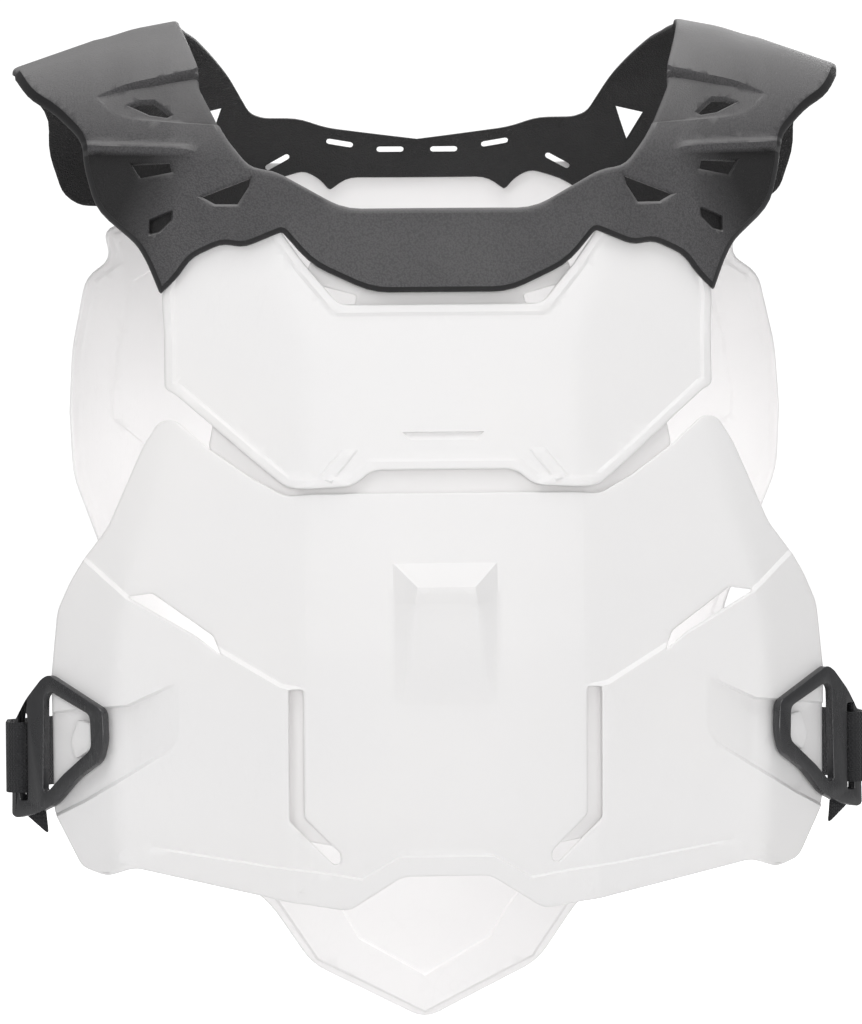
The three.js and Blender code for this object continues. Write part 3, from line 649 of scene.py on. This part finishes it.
def scoopRise(x, z):
    scoop = abdomen["scoop"]
    t = -z - scoop["top"]
    if t <= 0 or t >= scoop["foot"] or abs(x) >= scoop["half"]:
        return 0
    if t < scoop["ledge"]:
        height = scoop["rise"] * t / scoop["ledge"]
        inner = scoop["half"] + (scoop["innerTop"] - scoop["half"]) * t / scoop["ledge"]
    else:
        fade = (t - scoop["ledge"]) / (scoop["foot"] - scoop["ledge"])
        height = scoop["rise"] if t < scoop["strip"] else (scoop["rise"] - scoop["stripDrop"]) * (
            1 - (t - scoop["strip"]) / (scoop["foot"] - scoop["strip"]))
        inner = scoop["innerTop"] + (scoop["innerFoot"] - scoop["innerTop"]) * fade
    return height * min(1, (scoop["half"] - abs(x)) / max(scoop["leastSlope"], scoop["half"] - inner))


def makeAbdomen():
    outline = roundCorners(bothSides(seamLine(2) + places(abdomen, "rows")), abdomen["corner"])
    holes = []
    for half in (places(abdomen, "gap"), places(abdomen, "slit")):
        holes += [roundCorners(spots, abdomen["holeCorner"], 2) for spots in (half, otherSide(half))]
    bm = flatSheet(outline, holes, abdomen["cell"], rimRings)
    wingLine = places(abdomen, "wingTop") + abdomen["wingRest"][:1]
    wing = wingLine + abdomen["wingRest"][1:]
    wings = [wing, otherSide(wing)]
    lipLine = places(abdomen, "lip")
    lip = bothSides(lipLine[::-1] + abdomen["lipRest"])
    for half, step in ((wingLine, abdomen["wingStep"]), (lipLine, abdomen["step"])):
        for line in (half, otherSide(half)):
            cutAlong(bm, line, (-step / 2, step / 2), closed=False)
    pockets = [abdomen["pocket"], otherSide(abdomen["pocket"])]
    for pocket in pockets:
        cutAlong(bm, pocket, (0, abdomen["pocketEdge"]))
        line = abdomen["pocket"][0][0] + abdomen["pocketSlope"]
        line = line if pocket[0][0] > 0 else -line
        cutAlong(bm, [(line, z) for z in abdomen["pocketFold"]], closed=False)
    scoop = abdomen["scoop"]
    zs = {k: -scoop["top"] - scoop[k] for k in ("ledge", "strip", "foot")}
    for side in (-1, 1):
        cutAlong(bm, [(side * scoop["half"], -scoop["top"]), (side * scoop["innerTop"], zs["ledge"]),
                      (side * scoop["innerFoot"], zs["foot"])], closed=False)
        edge = side * scoop["half"]
        cutAlong(bm, [(edge, -scoop["top"]), (edge, zs["foot"])], closed=False)
    for level in (-scoop["top"], zs["ledge"], zs["strip"], zs["strip"] - scoop["stripStep"], zs["foot"]):
        cutAlong(bm, [(-scoop["half"], level), (scoop["half"], level)], closed=False)

    def proudAt(x, z):
        out = scoopRise(x, z)
        for wing in wings:
            if x * wing[0][0] > 0:
                share = insideBy(x, z, wing) / abdomen["wingStep"] + 0.5
                out += abdomen["wingLift"] * max(0, min(1, share))
        out += abdomen["lipLift"] * easeUp(insideBy(x, z, lip) / abdomen["step"] + 0.5)
        for pocket in pockets:
            if x * pocket[0][0] > 0:
                slope = min(1, (abs(x) - abdomen["pocket"][0][0]) / abdomen["pocketSlope"])
                inside = riseIn(x, z, pocket, abdomen["pocketEdge"])
                out -= abdomen["pocketDepth"] * max(0, slope) * inside
        return out

    shapeFront(bm, proudAt, abdomen["wall"])
    return finishPiece("abdomen_shell", bm, "shell_white", "abdomen_plate")


innerFrame = {
    "halfWidth": 117, "top": 108, "height": 305, "corner": 3, "wall": 2.2, "cell": 7,
    "rows": [(0, 0.07), (0.30, 0.07), (0.52, 0.0), (0.62, 0.10), (0.66, 0.26), (0.97, 0.28), (1.0, 0.34),
             (0.72, 0.46), (0.70, 0.98), (0.40, 1.0), (0, 0.95)],
    "window": [(0.50, 0.075), (0.36, 0.090), (0.365, 0.105), (0.44, 0.105)], "windowCorner": 1.2,
    "play": 0.05,
}


def makeInnerFrame():
    outline = roundCorners(bothSides(places(innerFrame, "rows")), innerFrame["corner"])
    window = roundCorners(places(innerFrame, "window"), innerFrame["windowCorner"], 2)
    bm = flatSheet(outline, [window, otherSide(window)], innerFrame["cell"], rimRings)
    back = gaps["wall"] + gaps["seat"] + innerFrame["play"]
    shapeFront(bm, lambda x, z: -back, innerFrame["wall"])
    return finishPiece("inner_frame_shell", bm, "frame_white", "inner_frame")


backShell = {
    "halfWidth": 190, "top": 52.5, "height": 471.7, "corner": 9, "wall": 2.4, "cell": 5,
    "rows": [(0, 0), (0.58, 0), (0.79, 0.065), (0.905, 0.081), (0.881, 0.114), (0.953, 0.136), (0.992, 0.219),
             (1.0, 0.290), (0.992, 0.362), (0.936, 0.425), (0.850, 0.525), (0.820, 0.720), (0.630, 0.800),
             (0.447, 0.860), (0.328, 0.932), (0, 1.0)],
    "panel": [(0, -78), (105, -84), (158, -118), (165, -150), (170, -184), (169, -193), (153, -206),
              (128, -300), (108, -375), (66, -436), (46.6, -462), (36.7, -479), (0, -500)],
    "rim": 3.2, "rimRise": 1.4, "panelRise": 1.4, "step": 1.2, "setIn": 0.3, "sideShare": 0.5,
}


def makeBack():
    outline = bothSides(places(backShell, "rows"))
    panel = bothSides(backShell["panel"])
    bm = flatSheet(roundCorners(outline, backShell["corner"]), (), backShell["cell"], rimRings)
    cutAlong(bm, outline, (backShell["rim"], backShell["rim"] + backShell["step"]))
    cutAlong(bm, panel, (0, backShell["step"]))
    under = bm.verts.layers.float_vector.new("under")
    levels = bm.verts.layers.float["depth"]
    for v in bm.verts:
        x, z = v.co.x, v.co.z
        pastRim = (insideBy(x, z, outline) - backShell["rim"]) / backShell["step"]
        out = backShell["rimRise"] * (1 - easeUp(pastRim))
        out += backShell["panelRise"] * riseIn(x, z, panel, backShell["step"])
        drop = rimDrop(v[levels], rimRadius)
        out -= drop + backShell["setIn"]
        angle = asin(max(-1, min(1, x / torso["backSweep"])))
        slope = slopeAt(backAt, x, z)
        v[under] = Vector((slope, -1, 0)).normalized() * (backShell["wall"] - (1 + innerRise) * drop)
        v.co = Vector((x + out * sin(angle) * backShell["sideShare"], backAt(x, z) + out * cos(angle), z))
    addInnerSide(bm)
    return finishPiece("back_shell", bm, "shell_white", "back_plate")


collar = {
    "halfWidth": 217, "drop": 134.6, "crest": 12, "rearTip": 45, "wall": 3.5, "cell": 4.0, "arch": 128,
    "frontFoot": 0.66, "rearFoot": 0.46, "rearReach": 0.69,
    "crestRows": [(0.0, 1.0), (0.6, 1.0), (0.8, 0.35), (1.0, -0.88), (1.1, -1.6)],
    # the right half from the neck's front middle, over the shoulder, to the bridge's front middle
    "neckFront": [(0, 0.683), (0.221, 0.683), (0.378, 0.536), (0.436, 0.521), (0.495, 0.396), (0.553, 0.182),
                  (0.552, 0.132), (0.601, -0.085)],
    "neckRear": [(0.601, -0.094), (0.561, -0.070), (0.519, -0.016), (0.476, 0.056), (0.4235, 0.193),
                 (0.391, 0.211), (0.299, 0.210), (0.234, 0.245), (0, 0.290)],
    "hemRear": [(0, 0.448), (0.176, 0.448), (0.222, 0.501), (0.249, 0.452), (0.287, 0.421), (0.372, 0.464),
                (0.461, 0.580), (0.848, 0.582), (0.889, 0.536), (0.923, 0.365), (0.917, 0.220), (1.0, 0.079)],
    "hemFront": [(1.0, 0.079), (0.956, 0.195), (0.899, 0.256), (0.829, 0.380), (0.824, 0.481), (0.797, 0.658),
                 (0.701, 0.799), (0.677, 0.869), (0.647, 0.992), (0.605, 0.928), (0.575, 0.857),
                 (0.502, 0.805), (0.453, 0.823), (0.364, 0.767), (0.298, 0.893), (0.159, 1.0), (0, 1.0)],
    "holes": [
        [(0.712, 0.262), (0.691, 0.248), (0.658, 0.248), (0.619, 0.305), (0.627, 0.312), (0.667, 0.300)],
        [(0.711, 0.488), (0.622, 0.492), (0.617, 0.528), (0.690, 0.544), (0.700, 0.520)],
        [(0.547, 0.629), (0.435, 0.562), (0.439, 0.593), (0.466, 0.660), (0.518, 0.657)],
    ],
    "rearHole": [(0.494, 0.172), (0.524, 0.305), (0.562, 0.200)],
    "slots": [(0.068, 0.331, 0), (0.196, 0.306, 9), (0.354, 0.386, -30)],
    "slotLength": 15, "slotHeight": 3,
    "tier": [(0.552, 0.132), (0.564, 0.145), (0.648, 0.172), (0.730, 0.193), (0.797, 0.222), (0.93, 0.200),
             (1.02, 0.150)],
    "tierRest": [(230, 0.0), (130.4, 0.0)], "tierStep": 1, "panelEdge": 1.2, "leastStep": 0.8,
    "endClear": 0.05, "downShare": 0.62,  # both as shares of the half width
    "tierRise": 2.0, "tierEnd": 172, "tierFade": 22, "darkDepth": 1.9, "overlap": 10,
    "rings": [0.25, 0.45, 0.8, 1.0, 0.15], "holeRings": [0.25, 0.45, 0.5], "edgeRound": 1.4, "round": 9,
    "sharpRound": 1.5, "neckDepth": 0.3, "hemDepth": 2.0, "thinner": 0.2, "innerSag": 0.35,
    "ridge": [(0.87, 0.412), (0.70, 0.432), (0.575, 0.452)], "ridgeHalf": 3.2, "ridgeRise": 1.5,
    # recessed panels: their depth is whole at "full" and gone at "gone"; "dark" is how much painted shade
    # their hollow gets
    "panels": [
        {"rows": [(0.797, 0.222), (0.730, 0.193), (0.648, 0.172), (0.564, 0.145), (0.50, 0.16), (0.46, 0.365),
                  (0.60, 0.345), (0.709, 0.322), (0.76, 0.290)],
         "depth": 3.2, "dark": 0.3, "full": (0.55, 0.18), "gone": (0.66, 0.42)},
        {"rows": [(0.86, 0.425), (0.575, 0.468), (0.560, 0.520), (0.600, 0.660), (0.660, 0.860),
                  (0.720, 0.860), (0.86, 0.66)],
         "depth": 4.0, "dark": 1.0, "full": (0.82, 0.44), "gone": (0.60, 0.66)},
        {"rows": [(0.672, 0.707), (0.614, 0.671), (0.616, 0.715), (0.645, 0.760), (0.673, 0.770)],
         "depth": 3.0, "dark": 1.0, "full": (0.66, 0.70), "gone": (0.30, 0.70)},
    ],
}


def rearAt(x, z):
    flare = collar["rearReach"] * collar["halfWidth"]
    wide = max(0, abs(x) - flare) / (collar["halfWidth"] - flare)
    near = backAt(min(flare, abs(x)), z) - gaps["wall"] - gaps["rear"]
    return near + (collar["rearTip"] - near) * wide


def crestAt(x):
    return between(collar["crestRows"], abs(x) / collar["halfWidth"], 1) * collar["crest"]


# The collar is laid flat as x and the way over the shoulder, which is negative in front
def layFlat(across, down, front):
    x, z = across * collar["halfWidth"], -down * collar["drop"]
    foot = -(collar["frontFoot"] if front else collar["rearFoot"]) * collar["drop"]
    if z < foot:
        way = collar["arch"] + foot - z
    else:
        turn = asin(max(0, min(1, (z - foot) / (crestAt(x) - foot))))
        way = collar["arch"] * (1 - turn / (pi / 2))
    return x, -way if front else way


def layPath(rows, front, step=0.02, radius=0):
    if radius:  # the ends stay, the corners between them are rounded
        spots = [(a * collar["halfWidth"], d * collar["drop"]) for a, d in rows]
        spots = roundCorners(spots, radius, 3, collar["sharpRound"])
        middle = [(x / collar["halfWidth"], d / collar["drop"]) for x, d in spots]
        for end in (rows[0], rows[-1]):
            middle = [(a, d) for a, d in middle if hypot(a - end[0], d - end[1]) > collar["endClear"]]
        rows = [rows[0], *middle, rows[-1]]
    made = []
    for (a, b), (c, d) in zip(rows, rows[1:]):
        count = max(1, round(hypot(c - a, (d - b) * collar["downShare"]) / step))
        made += [layFlat(a + (c - a) * k / count, b + (d - b) * k / count, front) for k in range(count)]
    return made + [layFlat(*rows[-1], front)]


def foldUp(x, way, out):  # from the flat collar to its place, and its height in front view
    front = way < 0
    foot = -(collar["frontFoot"] if front else collar["rearFoot"]) * collar["drop"]
    flat = (lambda z: frontSoft(x, z) + gaps["rim"] + gaps["collar"] + collar["wall"]) if front \
        else (lambda z: rearAt(x, z))
    towards = -1 if front else 1
    past = abs(way) - collar["arch"]
    if past > 0:
        z = foot - past
        return Vector((x, towards * (flat(z) + out), z))
    turn = (1 - abs(way) / collar["arch"]) * pi / 2
    z = foot + (crestAt(x) - foot) * sin(turn)
    return Vector((x, towards * (flat(foot) * cos(turn) + out * cos(turn)), z + out * sin(turn)))


def slotRing(across, down, tilt):
    radius = collar["slotHeight"] / 2
    half = collar["slotLength"] / 2 - radius
    ring = []
    for end in (1, -1):
        for k in range(5):
            angle = (-0.5 if end > 0 else 0.5) * pi + k / 4 * pi
            u, v = end * half + radius * cos(angle), radius * sin(angle)
            t = radians(tilt)
            ring.append(layFlat(across + (u * cos(t) - v * sin(t)) / collar["halfWidth"],
                                down - (u * sin(t) + v * cos(t)) / collar["drop"], False))
    return ring


def closedPath(rows, front):
    return layPath(rows + rows[:1], front)[:-1]


def makeCollar():
    wide = collar["round"]
    neck = layPath(collar["neckFront"], True, radius=wide) + layPath(collar["neckRear"], False, radius=wide)
    frontHem = layPath(collar["hemFront"], True, radius=wide)[1:]
    hem = layPath(collar["hemRear"], False, radius=wide) + frontHem
    past = -collar["overlap"]
    loop = neck + [(past, neck[-1][1]), (past, hem[0][1])] + hem + [(past, hem[-1][1]), (past, neck[0][1])]
    outline = [loop[0]]
    for spot in loop[1:]:
        if hypot(spot[0] - outline[-1][0], spot[1] - outline[-1][1]) > collar["leastStep"]:
            outline.append(spot)
    holes = [closedPath(rows, True) for rows in collar["holes"]]
    holes.append(closedPath(collar["rearHole"], False))
    holes += [slotRing(*slot) for slot in collar["slots"]]
    bm = flatSheet(outline, holes, collar["cell"], collar["rings"], collar["holeRings"])
    tier = layPath(collar["tier"], True)
    cutAlong(bm, tier, (-collar["tierStep"] / 2, collar["tierStep"] / 2), closed=False)
    ridge, half = layPath(collar["ridge"], True, 0.05), collar["ridgeHalf"]
    cutAlong(bm, ridge, (-half, -half / 2, 0, half / 2), closed=False)
    panels = []
    for panel in collar["panels"]:
        path = closedPath(panel["rows"], True)
        full, gone = Vector(layFlat(*panel["full"], True)), Vector(layFlat(*panel["gone"], True))
        panels.append((path, panel["depth"], panel["dark"], full, gone - full))
        cutAlong(bm, path, (0, collar["panelEdge"]))
    bmesh.ops.bisect_plane(bm, geom=wholeOf(bm), dist=sheet["near"], plane_co=(0, 0, 0),
                           plane_no=(1, 0, 0), clear_inner=True)
    bmesh.ops.mirror(bm, geom=wholeOf(bm), axis="X", merge_dist=sheet["cutNear"])
    rimTotal = sum(collar["rings"])
    under = bm.verts.layers.float_vector.new("under")
    bm.verts.layers.float.new("rim")
    bm.verts.layers.float.new("shade")
    levels, rimLayer, shadeLayer = (bm.verts.layers.float[key] for key in ("depth", "rim", "shade"))
    tierArea = tier + collar["tierRest"]
    for v in bm.verts:
        x, way = v.co.x, v.co.z
        depth = v[levels]
        atHem = depth < rimTotal and way < 0 and awayFrom(abs(x), way, frontHem) < 1.5 * rimTotal
        sink = collar["hemDepth"] if atHem else collar["neckDepth"]
        drop, sag = rimDrop(depth, collar["edgeRound"]), sink * (1 - depth / rimTotal)
        out = -drop - sag
        # painted shade and a real rim: the front hem's rounded rim is marked here and painted near black,
        # partly the smooth black rim and partly the shade under its downward-facing edge
        v[rimLayer] = 1.0 if atHem and depth < rimTotal - 0.1 else 0.0
        if way < 0.5:
            fadeOut = easeUp((collar["tierEnd"] - abs(x)) / collar["tierFade"])
            share = insideBy(abs(x), way, tierArea) / collar["tierStep"] + 0.5
            out += collar["tierRise"] * easeUp(share) * fadeOut
            out += collar["ridgeRise"] * easeUp(1 - awayFrom(abs(x), way, ridge) / half)
            for path, deep, dark, full, fade in panels:
                share = 1 - (Vector((abs(x), way)) - full).dot(fade) / fade.length_squared
                sunk = deep * max(0, min(1, share)) * riseIn(abs(x), way, path, collar["panelEdge"])
                out -= sunk
                # painted shade: the sunk panels are marked to be painted darker, as if in shade
                v[shadeLayer] = max(v[shadeLayer], dark * min(1, sunk / collar["darkDepth"]))
        v.co = foldUp(x, way, out)
        inner = out - collar["wall"] + collar["thinner"] + (1 + innerRise) * drop + collar["innerSag"] * sag
        v[under] = foldUp(x, way, inner) - v.co
    addInnerSide(bm)
    return finishPiece("collar_moulding", bm, "collar_rubber", "collar")


buckle = {
    "inset": 0.726 * torso["frontHalfWidth"], "height": 362, "width": 66, "drop": 37, "thickness": 5,
    "wingLift": 1.6, "hookRise": 0.7, "hookFoot": 0.5, "chamfer": 2.1,
    "outer": [(0.606, 0.99), (0.040, 0.52), (0.030, 0.09), (0.080, -0.18), (0.323, -0.43), (0.548, -0.79),
              (0.742, -0.93), (0.952, -1.0), (1.0, -0.96), (0.985, 0.30), (0.940, 0.40), (0.847, 0.64),
              (0.680, 0.93)],
    "opening": [(0.595, 0.765), (0.174, 0.446), (0.165, -0.014), (0.455, -0.373), (0.626, -0.627),
                (0.665, -0.60), (0.650, 0.675)],
    "slot": [(0.83, -0.75), (0.91, -0.75), (0.91, 0.45), (0.83, 0.45)],
    "hook": [(0.20, 0.32), (0.36, 0.38), (0.44, 0.06), (0.38, -0.17), (0.20, -0.02)],
    "tail": [(47.2, -44.8), (50, -24), (62, -24), (61.5, -36)], "tailUnder": 1.2, "tailThickness": 1.8,
}
wingNear, wingFar = (Vector((x, -frontAt(x, -buckle["height"]), 0))
                     for x in (buckle["inset"], torso["frontHalfWidth"]))
wingTurn = atan2(wingFar.y - wingNear.y, wingFar.x - wingNear.x)
ringSeat = (buckle["wingLift"] + gaps["seat"] / cos(wingTurn)) * cos(wingTurn)


def ringPlate(outline, holes, low, high, side, chamfer, segments=3):
    bm = flatSheet(outline, holes, cell=400)
    bmesh.ops.dissolve_limit(bm, angle_limit=0.01, verts=bm.verts[:], edges=bm.edges[:])
    grown = bmesh.ops.extrude_face_region(bm, geom=bm.faces[:])
    bmesh.ops.translate(bm, vec=(0, high - low, 0), verts=newVerts(grown))
    bmesh.ops.translate(bm, vec=(0, -high, 0), verts=bm.verts[:])
    bmesh.ops.recalc_face_normals(bm, faces=bm.faces[:])
    flat = {f: abs(f.normal.y) > 0.5 for f in bm.faces}
    edges = [e for e in bm.edges if len(e.link_faces) == 2 and e.calc_face_angle(0) > 0.6
             and len({flat[f] for f in e.link_faces}) == 2]
    bmesh.ops.bevel(bm, geom=edges, offset=chamfer, offset_type="OFFSET", affect="EDGES", segments=segments,
                    profile=0.5, material=-1, clamp_overlap=True)
    bmesh.ops.rotate(bm, cent=(0, 0, 0), matrix=Matrix.Rotation(wingTurn, 3, "Z"), verts=bm.verts[:])
    bmesh.ops.translate(bm, vec=(wingNear.x, wingNear.y, -buckle["height"]), verts=bm.verts[:])
    if side < 0:
        bmesh.ops.scale(bm, vec=(-1, 1, 1), verts=bm.verts[:])
        bmesh.ops.reverse_faces(bm, faces=bm.faces[:])
    return bm


def ringOutline(key, radius, steps):
    spots = [(u * buckle["width"], v * buckle["drop"]) for u, v in buckle[key]]
    return roundCorners(spots, radius, steps)


def makeBuckle(side, label):
    holes = [ringOutline("opening", 3.0, 4), ringOutline("slot", 1.2, 2)]
    high = ringSeat + buckle["thickness"]
    bm = ringPlate(ringOutline("outer", 3.5, 4), holes, ringSeat, high, side, buckle["chamfer"])
    return finishPiece("buckle_ring_" + label, bm, "buckle_black", "buckle_" + label, smooth=30)


def makeHook(side, label):
    high = ringSeat + buckle["hookRise"]
    bm = ringPlate(ringOutline("hook", 2.0, 3), [], -buckle["hookFoot"], high, side, 1.0)
    return finishPiece("wing_hook_" + label, bm, "shell_white", smooth=30)


strap = {"width": 36, "thickness": 2, "drop": 6, "lap": 26, "slack": 0.8, "loop": 0.6, "waist": 0.80,
         "rib": 1.5, "reach": 3, "round": 1.5, "tailReach": 1.2, "thinner": 0.95, "edge": 0.5}


def strapPath():
    along = Vector((cos(wingTurn), sin(wingTurn), 0))
    out = Vector((along.y, -along.x, 0))
    ring = lambda u, off: wingNear + along * u + out * off
    slotMiddle = (buckle["slot"][0][0] + buckle["slot"][1][0]) / 2 * buckle["width"]
    half = strap["thickness"] / 2
    barOut = buckle["width"] + strap["loop"] + half
    under = ringSeat - strap["loop"] - half
    over = ringSeat + buckle["thickness"] + strap["loop"] + half
    lapOff = strap["rib"] + gaps["seat"] + strap["slack"] + half

    def lapAt(x):
        turn = asin(min(1, x / torso["backSweep"]))
        return Vector((x + lapOff * sin(turn), backAt(x, -buckle["height"]) + lapOff * cos(turn), 0))

    waist = strap["waist"] * backShell["halfWidth"]
    reach, bend = strap["reach"], strap["round"]
    turnBack = ring(barOut + reach, under)
    path = [lapAt(waist + share * strap["lap"]) for share in (-1, -0.75, -0.5, -0.25, 0, 0.2, 0.4)]
    path += [turnBack + Vector((reach, strap["lap"], 0)), ring(barOut + reach, (under + over) / 2),
             ring(barOut - bend, over - bend / 4), ring(slotMiddle + strap["tailReach"], over),
             ring(slotMiddle, over - bend), ring(slotMiddle, under + bend / 2)]
    return path


def makeStrap(side, label):
    path = strapPath()
    bm = bmesh.new()
    uv = bm.loops.layers.uv.new("strap")
    top = -buckle["height"] - strap["drop"] + strap["width"] / 2
    rows = [bm.verts.new((p.x, p.y, top)) for p in path]
    edges = [bm.edges.new(pair) for pair in zip(rows, rows[1:])]
    lengths = [0.0]
    for a, b in zip(path, path[1:]):
        lengths.append(lengths[-1] + (b - a).length)
    spots = {(round(p.x, 3), round(p.y, 3)): lengths[k] for k, p in enumerate(path)}
    grown = bmesh.ops.extrude_edge_only(bm, edges=edges)
    bmesh.ops.translate(bm, vec=(0, 0, -strap["width"]), verts=newVerts(grown))
    for f in bm.faces:
        for loop in f.loops:
            spot = loop.vert.co
            loop[uv].uv = (spots[(round(spot.x, 3), round(spot.y, 3))], spot.z - top)
    if side < 0:
        bmesh.ops.scale(bm, vec=(-1, 1, 1), verts=bm.verts[:])
    bmesh.ops.subdivide_edges(bm, edges=bm.edges[:], cuts=2, use_grid_fill=True)
    piece = finishPiece("strap_webbing_" + label, bm, "webbing_black", "strap_" + label, smooth=None)
    wall = piece.modifiers.new("wall", "SOLIDIFY")
    wall.thickness = strap["thickness"] * strap["thinner"] * mm
    wall.offset = 0
    edge = piece.modifiers.new("edge", "BEVEL")
    edge.width = strap["edge"] * mm
    edge.segments = 2
    edge.limit_method = "ANGLE"
    edge.angle_limit = radians(60)
    return piece


def makeTail(side, label):  # the strap's free end hangs under the ring
    high = ringSeat - buckle["tailUnder"]
    outline = roundCorners(buckle["tail"], 1.5, 2)
    bm = ringPlate(outline, [], high - buckle["tailThickness"], high, side, strap["edge"], 2)
    uv = bm.loops.layers.uv.new("strap")
    for f in bm.faces:
        for loop in f.loops:
            loop[uv].uv = (loop.vert.co.z, loop.vert.co.x)
    return finishPiece("strap_tail_" + label, bm, "webbing_black", smooth=30)


makeChest()
makeAbdomen()
makeInnerFrame()
makeBack()
makeCollar()
for side, label in ((1, "right"), (-1, "left")):
    makeBuckle(side, label)
    makeHook(side, label)
    makeStrap(side, label)
    makeTail(side, label)
print("pieces ready")


# Floor, light and camera
studio = {
    "floorDrop": 0.56, "floorHalf": 30, "floorColour": (0.93, 0.93, 0.93),
    "world": 0.42, "backdrop": 1.1, "floorGlow": 0.75,
    "lights": [
        {"name": "front", "at": (0.1, -3.2, 0.0), "size": 1.3, "power": 28},
        {"name": "key", "at": (-1.5, -1.7, 1.5), "size": 1.0, "power": 10},
        {"name": "top", "at": (0.2, -0.9, 2.2), "size": 1.4, "power": 24},
        {"name": "inside", "at": (0.0, -0.06, -0.28), "size": 0.12, "power": 0.25,
         "towards": (0.0, 0.2, -0.28)},
        {"name": "rear", "at": (0.8, 2.4, 0.9), "size": 1.8, "power": 26},
    ],
}


def makeStudio():
    bm = bmesh.new()
    bmesh.ops.create_grid(bm, x_segments=1, y_segments=1, size=studio["floorHalf"])
    bmesh.ops.translate(bm, vec=(0, 0, -studio["floorDrop"]), verts=bm.verts[:])
    mesh = bpy.data.meshes.new("floor")
    bm.to_mesh(mesh)
    bm.free()
    floorPiece = bpy.data.objects.new("floor", mesh)
    scene.collection.objects.link(floorPiece)
    paint = bpy.data.materials.new("floor")
    paint.use_nodes = True
    coat = paint.node_tree.nodes["Principled BSDF"]
    coat.inputs["Base Color"].default_value = (*studio["floorColour"], 1)
    coat.inputs["Roughness"].default_value = 0.9
    coat.inputs["Emission Color"].default_value = (1, 1, 1, 1)
    seen = add(paint.node_tree, "ShaderNodeLightPath").outputs["Is Camera Ray"]
    glow = mathNode(paint.node_tree, "MULTIPLY", seen, studio["floorGlow"])
    paint.node_tree.links.new(glow, coat.inputs["Emission Strength"])
    mesh.materials.append(paint)
    for light in studio["lights"]:
        target = Vector(light.get("towards", (0, 0, -0.25)))
        data = bpy.data.lights.new(light["name"], "AREA")
        data.shape = "DISK"
        data.size = light["size"]
        data.energy = light["power"]
        lamp = bpy.data.objects.new(light["name"], data)
        lamp.location = light["at"]
        lamp.rotation_euler = (target - lamp.location).to_track_quat("-Z", "Y").to_euler()
        scene.collection.objects.link(lamp)
    world = bpy.data.worlds.new("studio")
    scene.world = world
    world.use_nodes = True
    tree = world.node_tree
    soft = tree.nodes["Background"]
    soft.inputs["Color"].default_value = (1, 1, 1, 1)
    soft.inputs["Strength"].default_value = studio["world"]
    plain = add(tree, "ShaderNodeBackground", {"Color": (1, 1, 1, 1), "Strength": studio["backdrop"]})
    choose = add(tree, "ShaderNodeMixShader")
    tree.links.new(add(tree, "ShaderNodeLightPath").outputs["Is Camera Ray"], choose.inputs["Fac"])
    tree.links.new(soft.outputs[0], choose.inputs[1])
    tree.links.new(plain.outputs[0], choose.inputs[2])
    tree.links.new(choose.outputs[0], tree.nodes["World Output"].inputs["Surface"])
    scene.view_settings.view_transform = "Standard"


view = {"away": 2.30, "frontPlane": -0.118, "middleX": -0.0062, "middleZ": -0.2446, "yaw": -3.0, "roll": 0.6,
        "framePixels": 1024, "pixel": 0.0005}


def makeCamera():
    data = bpy.data.cameras.new("camera")
    camera = bpy.data.objects.new("camera", data)
    scene.collection.objects.link(camera)
    data.sensor_width = 36
    data.lens = 36 * view["away"] / (view["framePixels"] * view["pixel"])
    yaw, roll = radians(view["yaw"]), radians(view["roll"])
    back = Vector((sin(yaw), -cos(yaw), 0))
    level = Vector((cos(yaw), sin(yaw), 0))
    right = level * cos(roll) - Vector((0, 0, 1)) * sin(roll)
    up = Vector((0, 0, 1)) * cos(roll) + level * sin(roll)
    turned = Matrix((right, up, back)).transposed()
    target = Vector((view["middleX"], view["frontPlane"], view["middleZ"]))
    camera.matrix_world = Matrix.Translation(target + back * view["away"]) @ turned.to_4x4()
    data.clip_start, data.clip_end = 0.1, 100
    scene.camera = camera


makeStudio()
makeCamera()
print("studio ready")
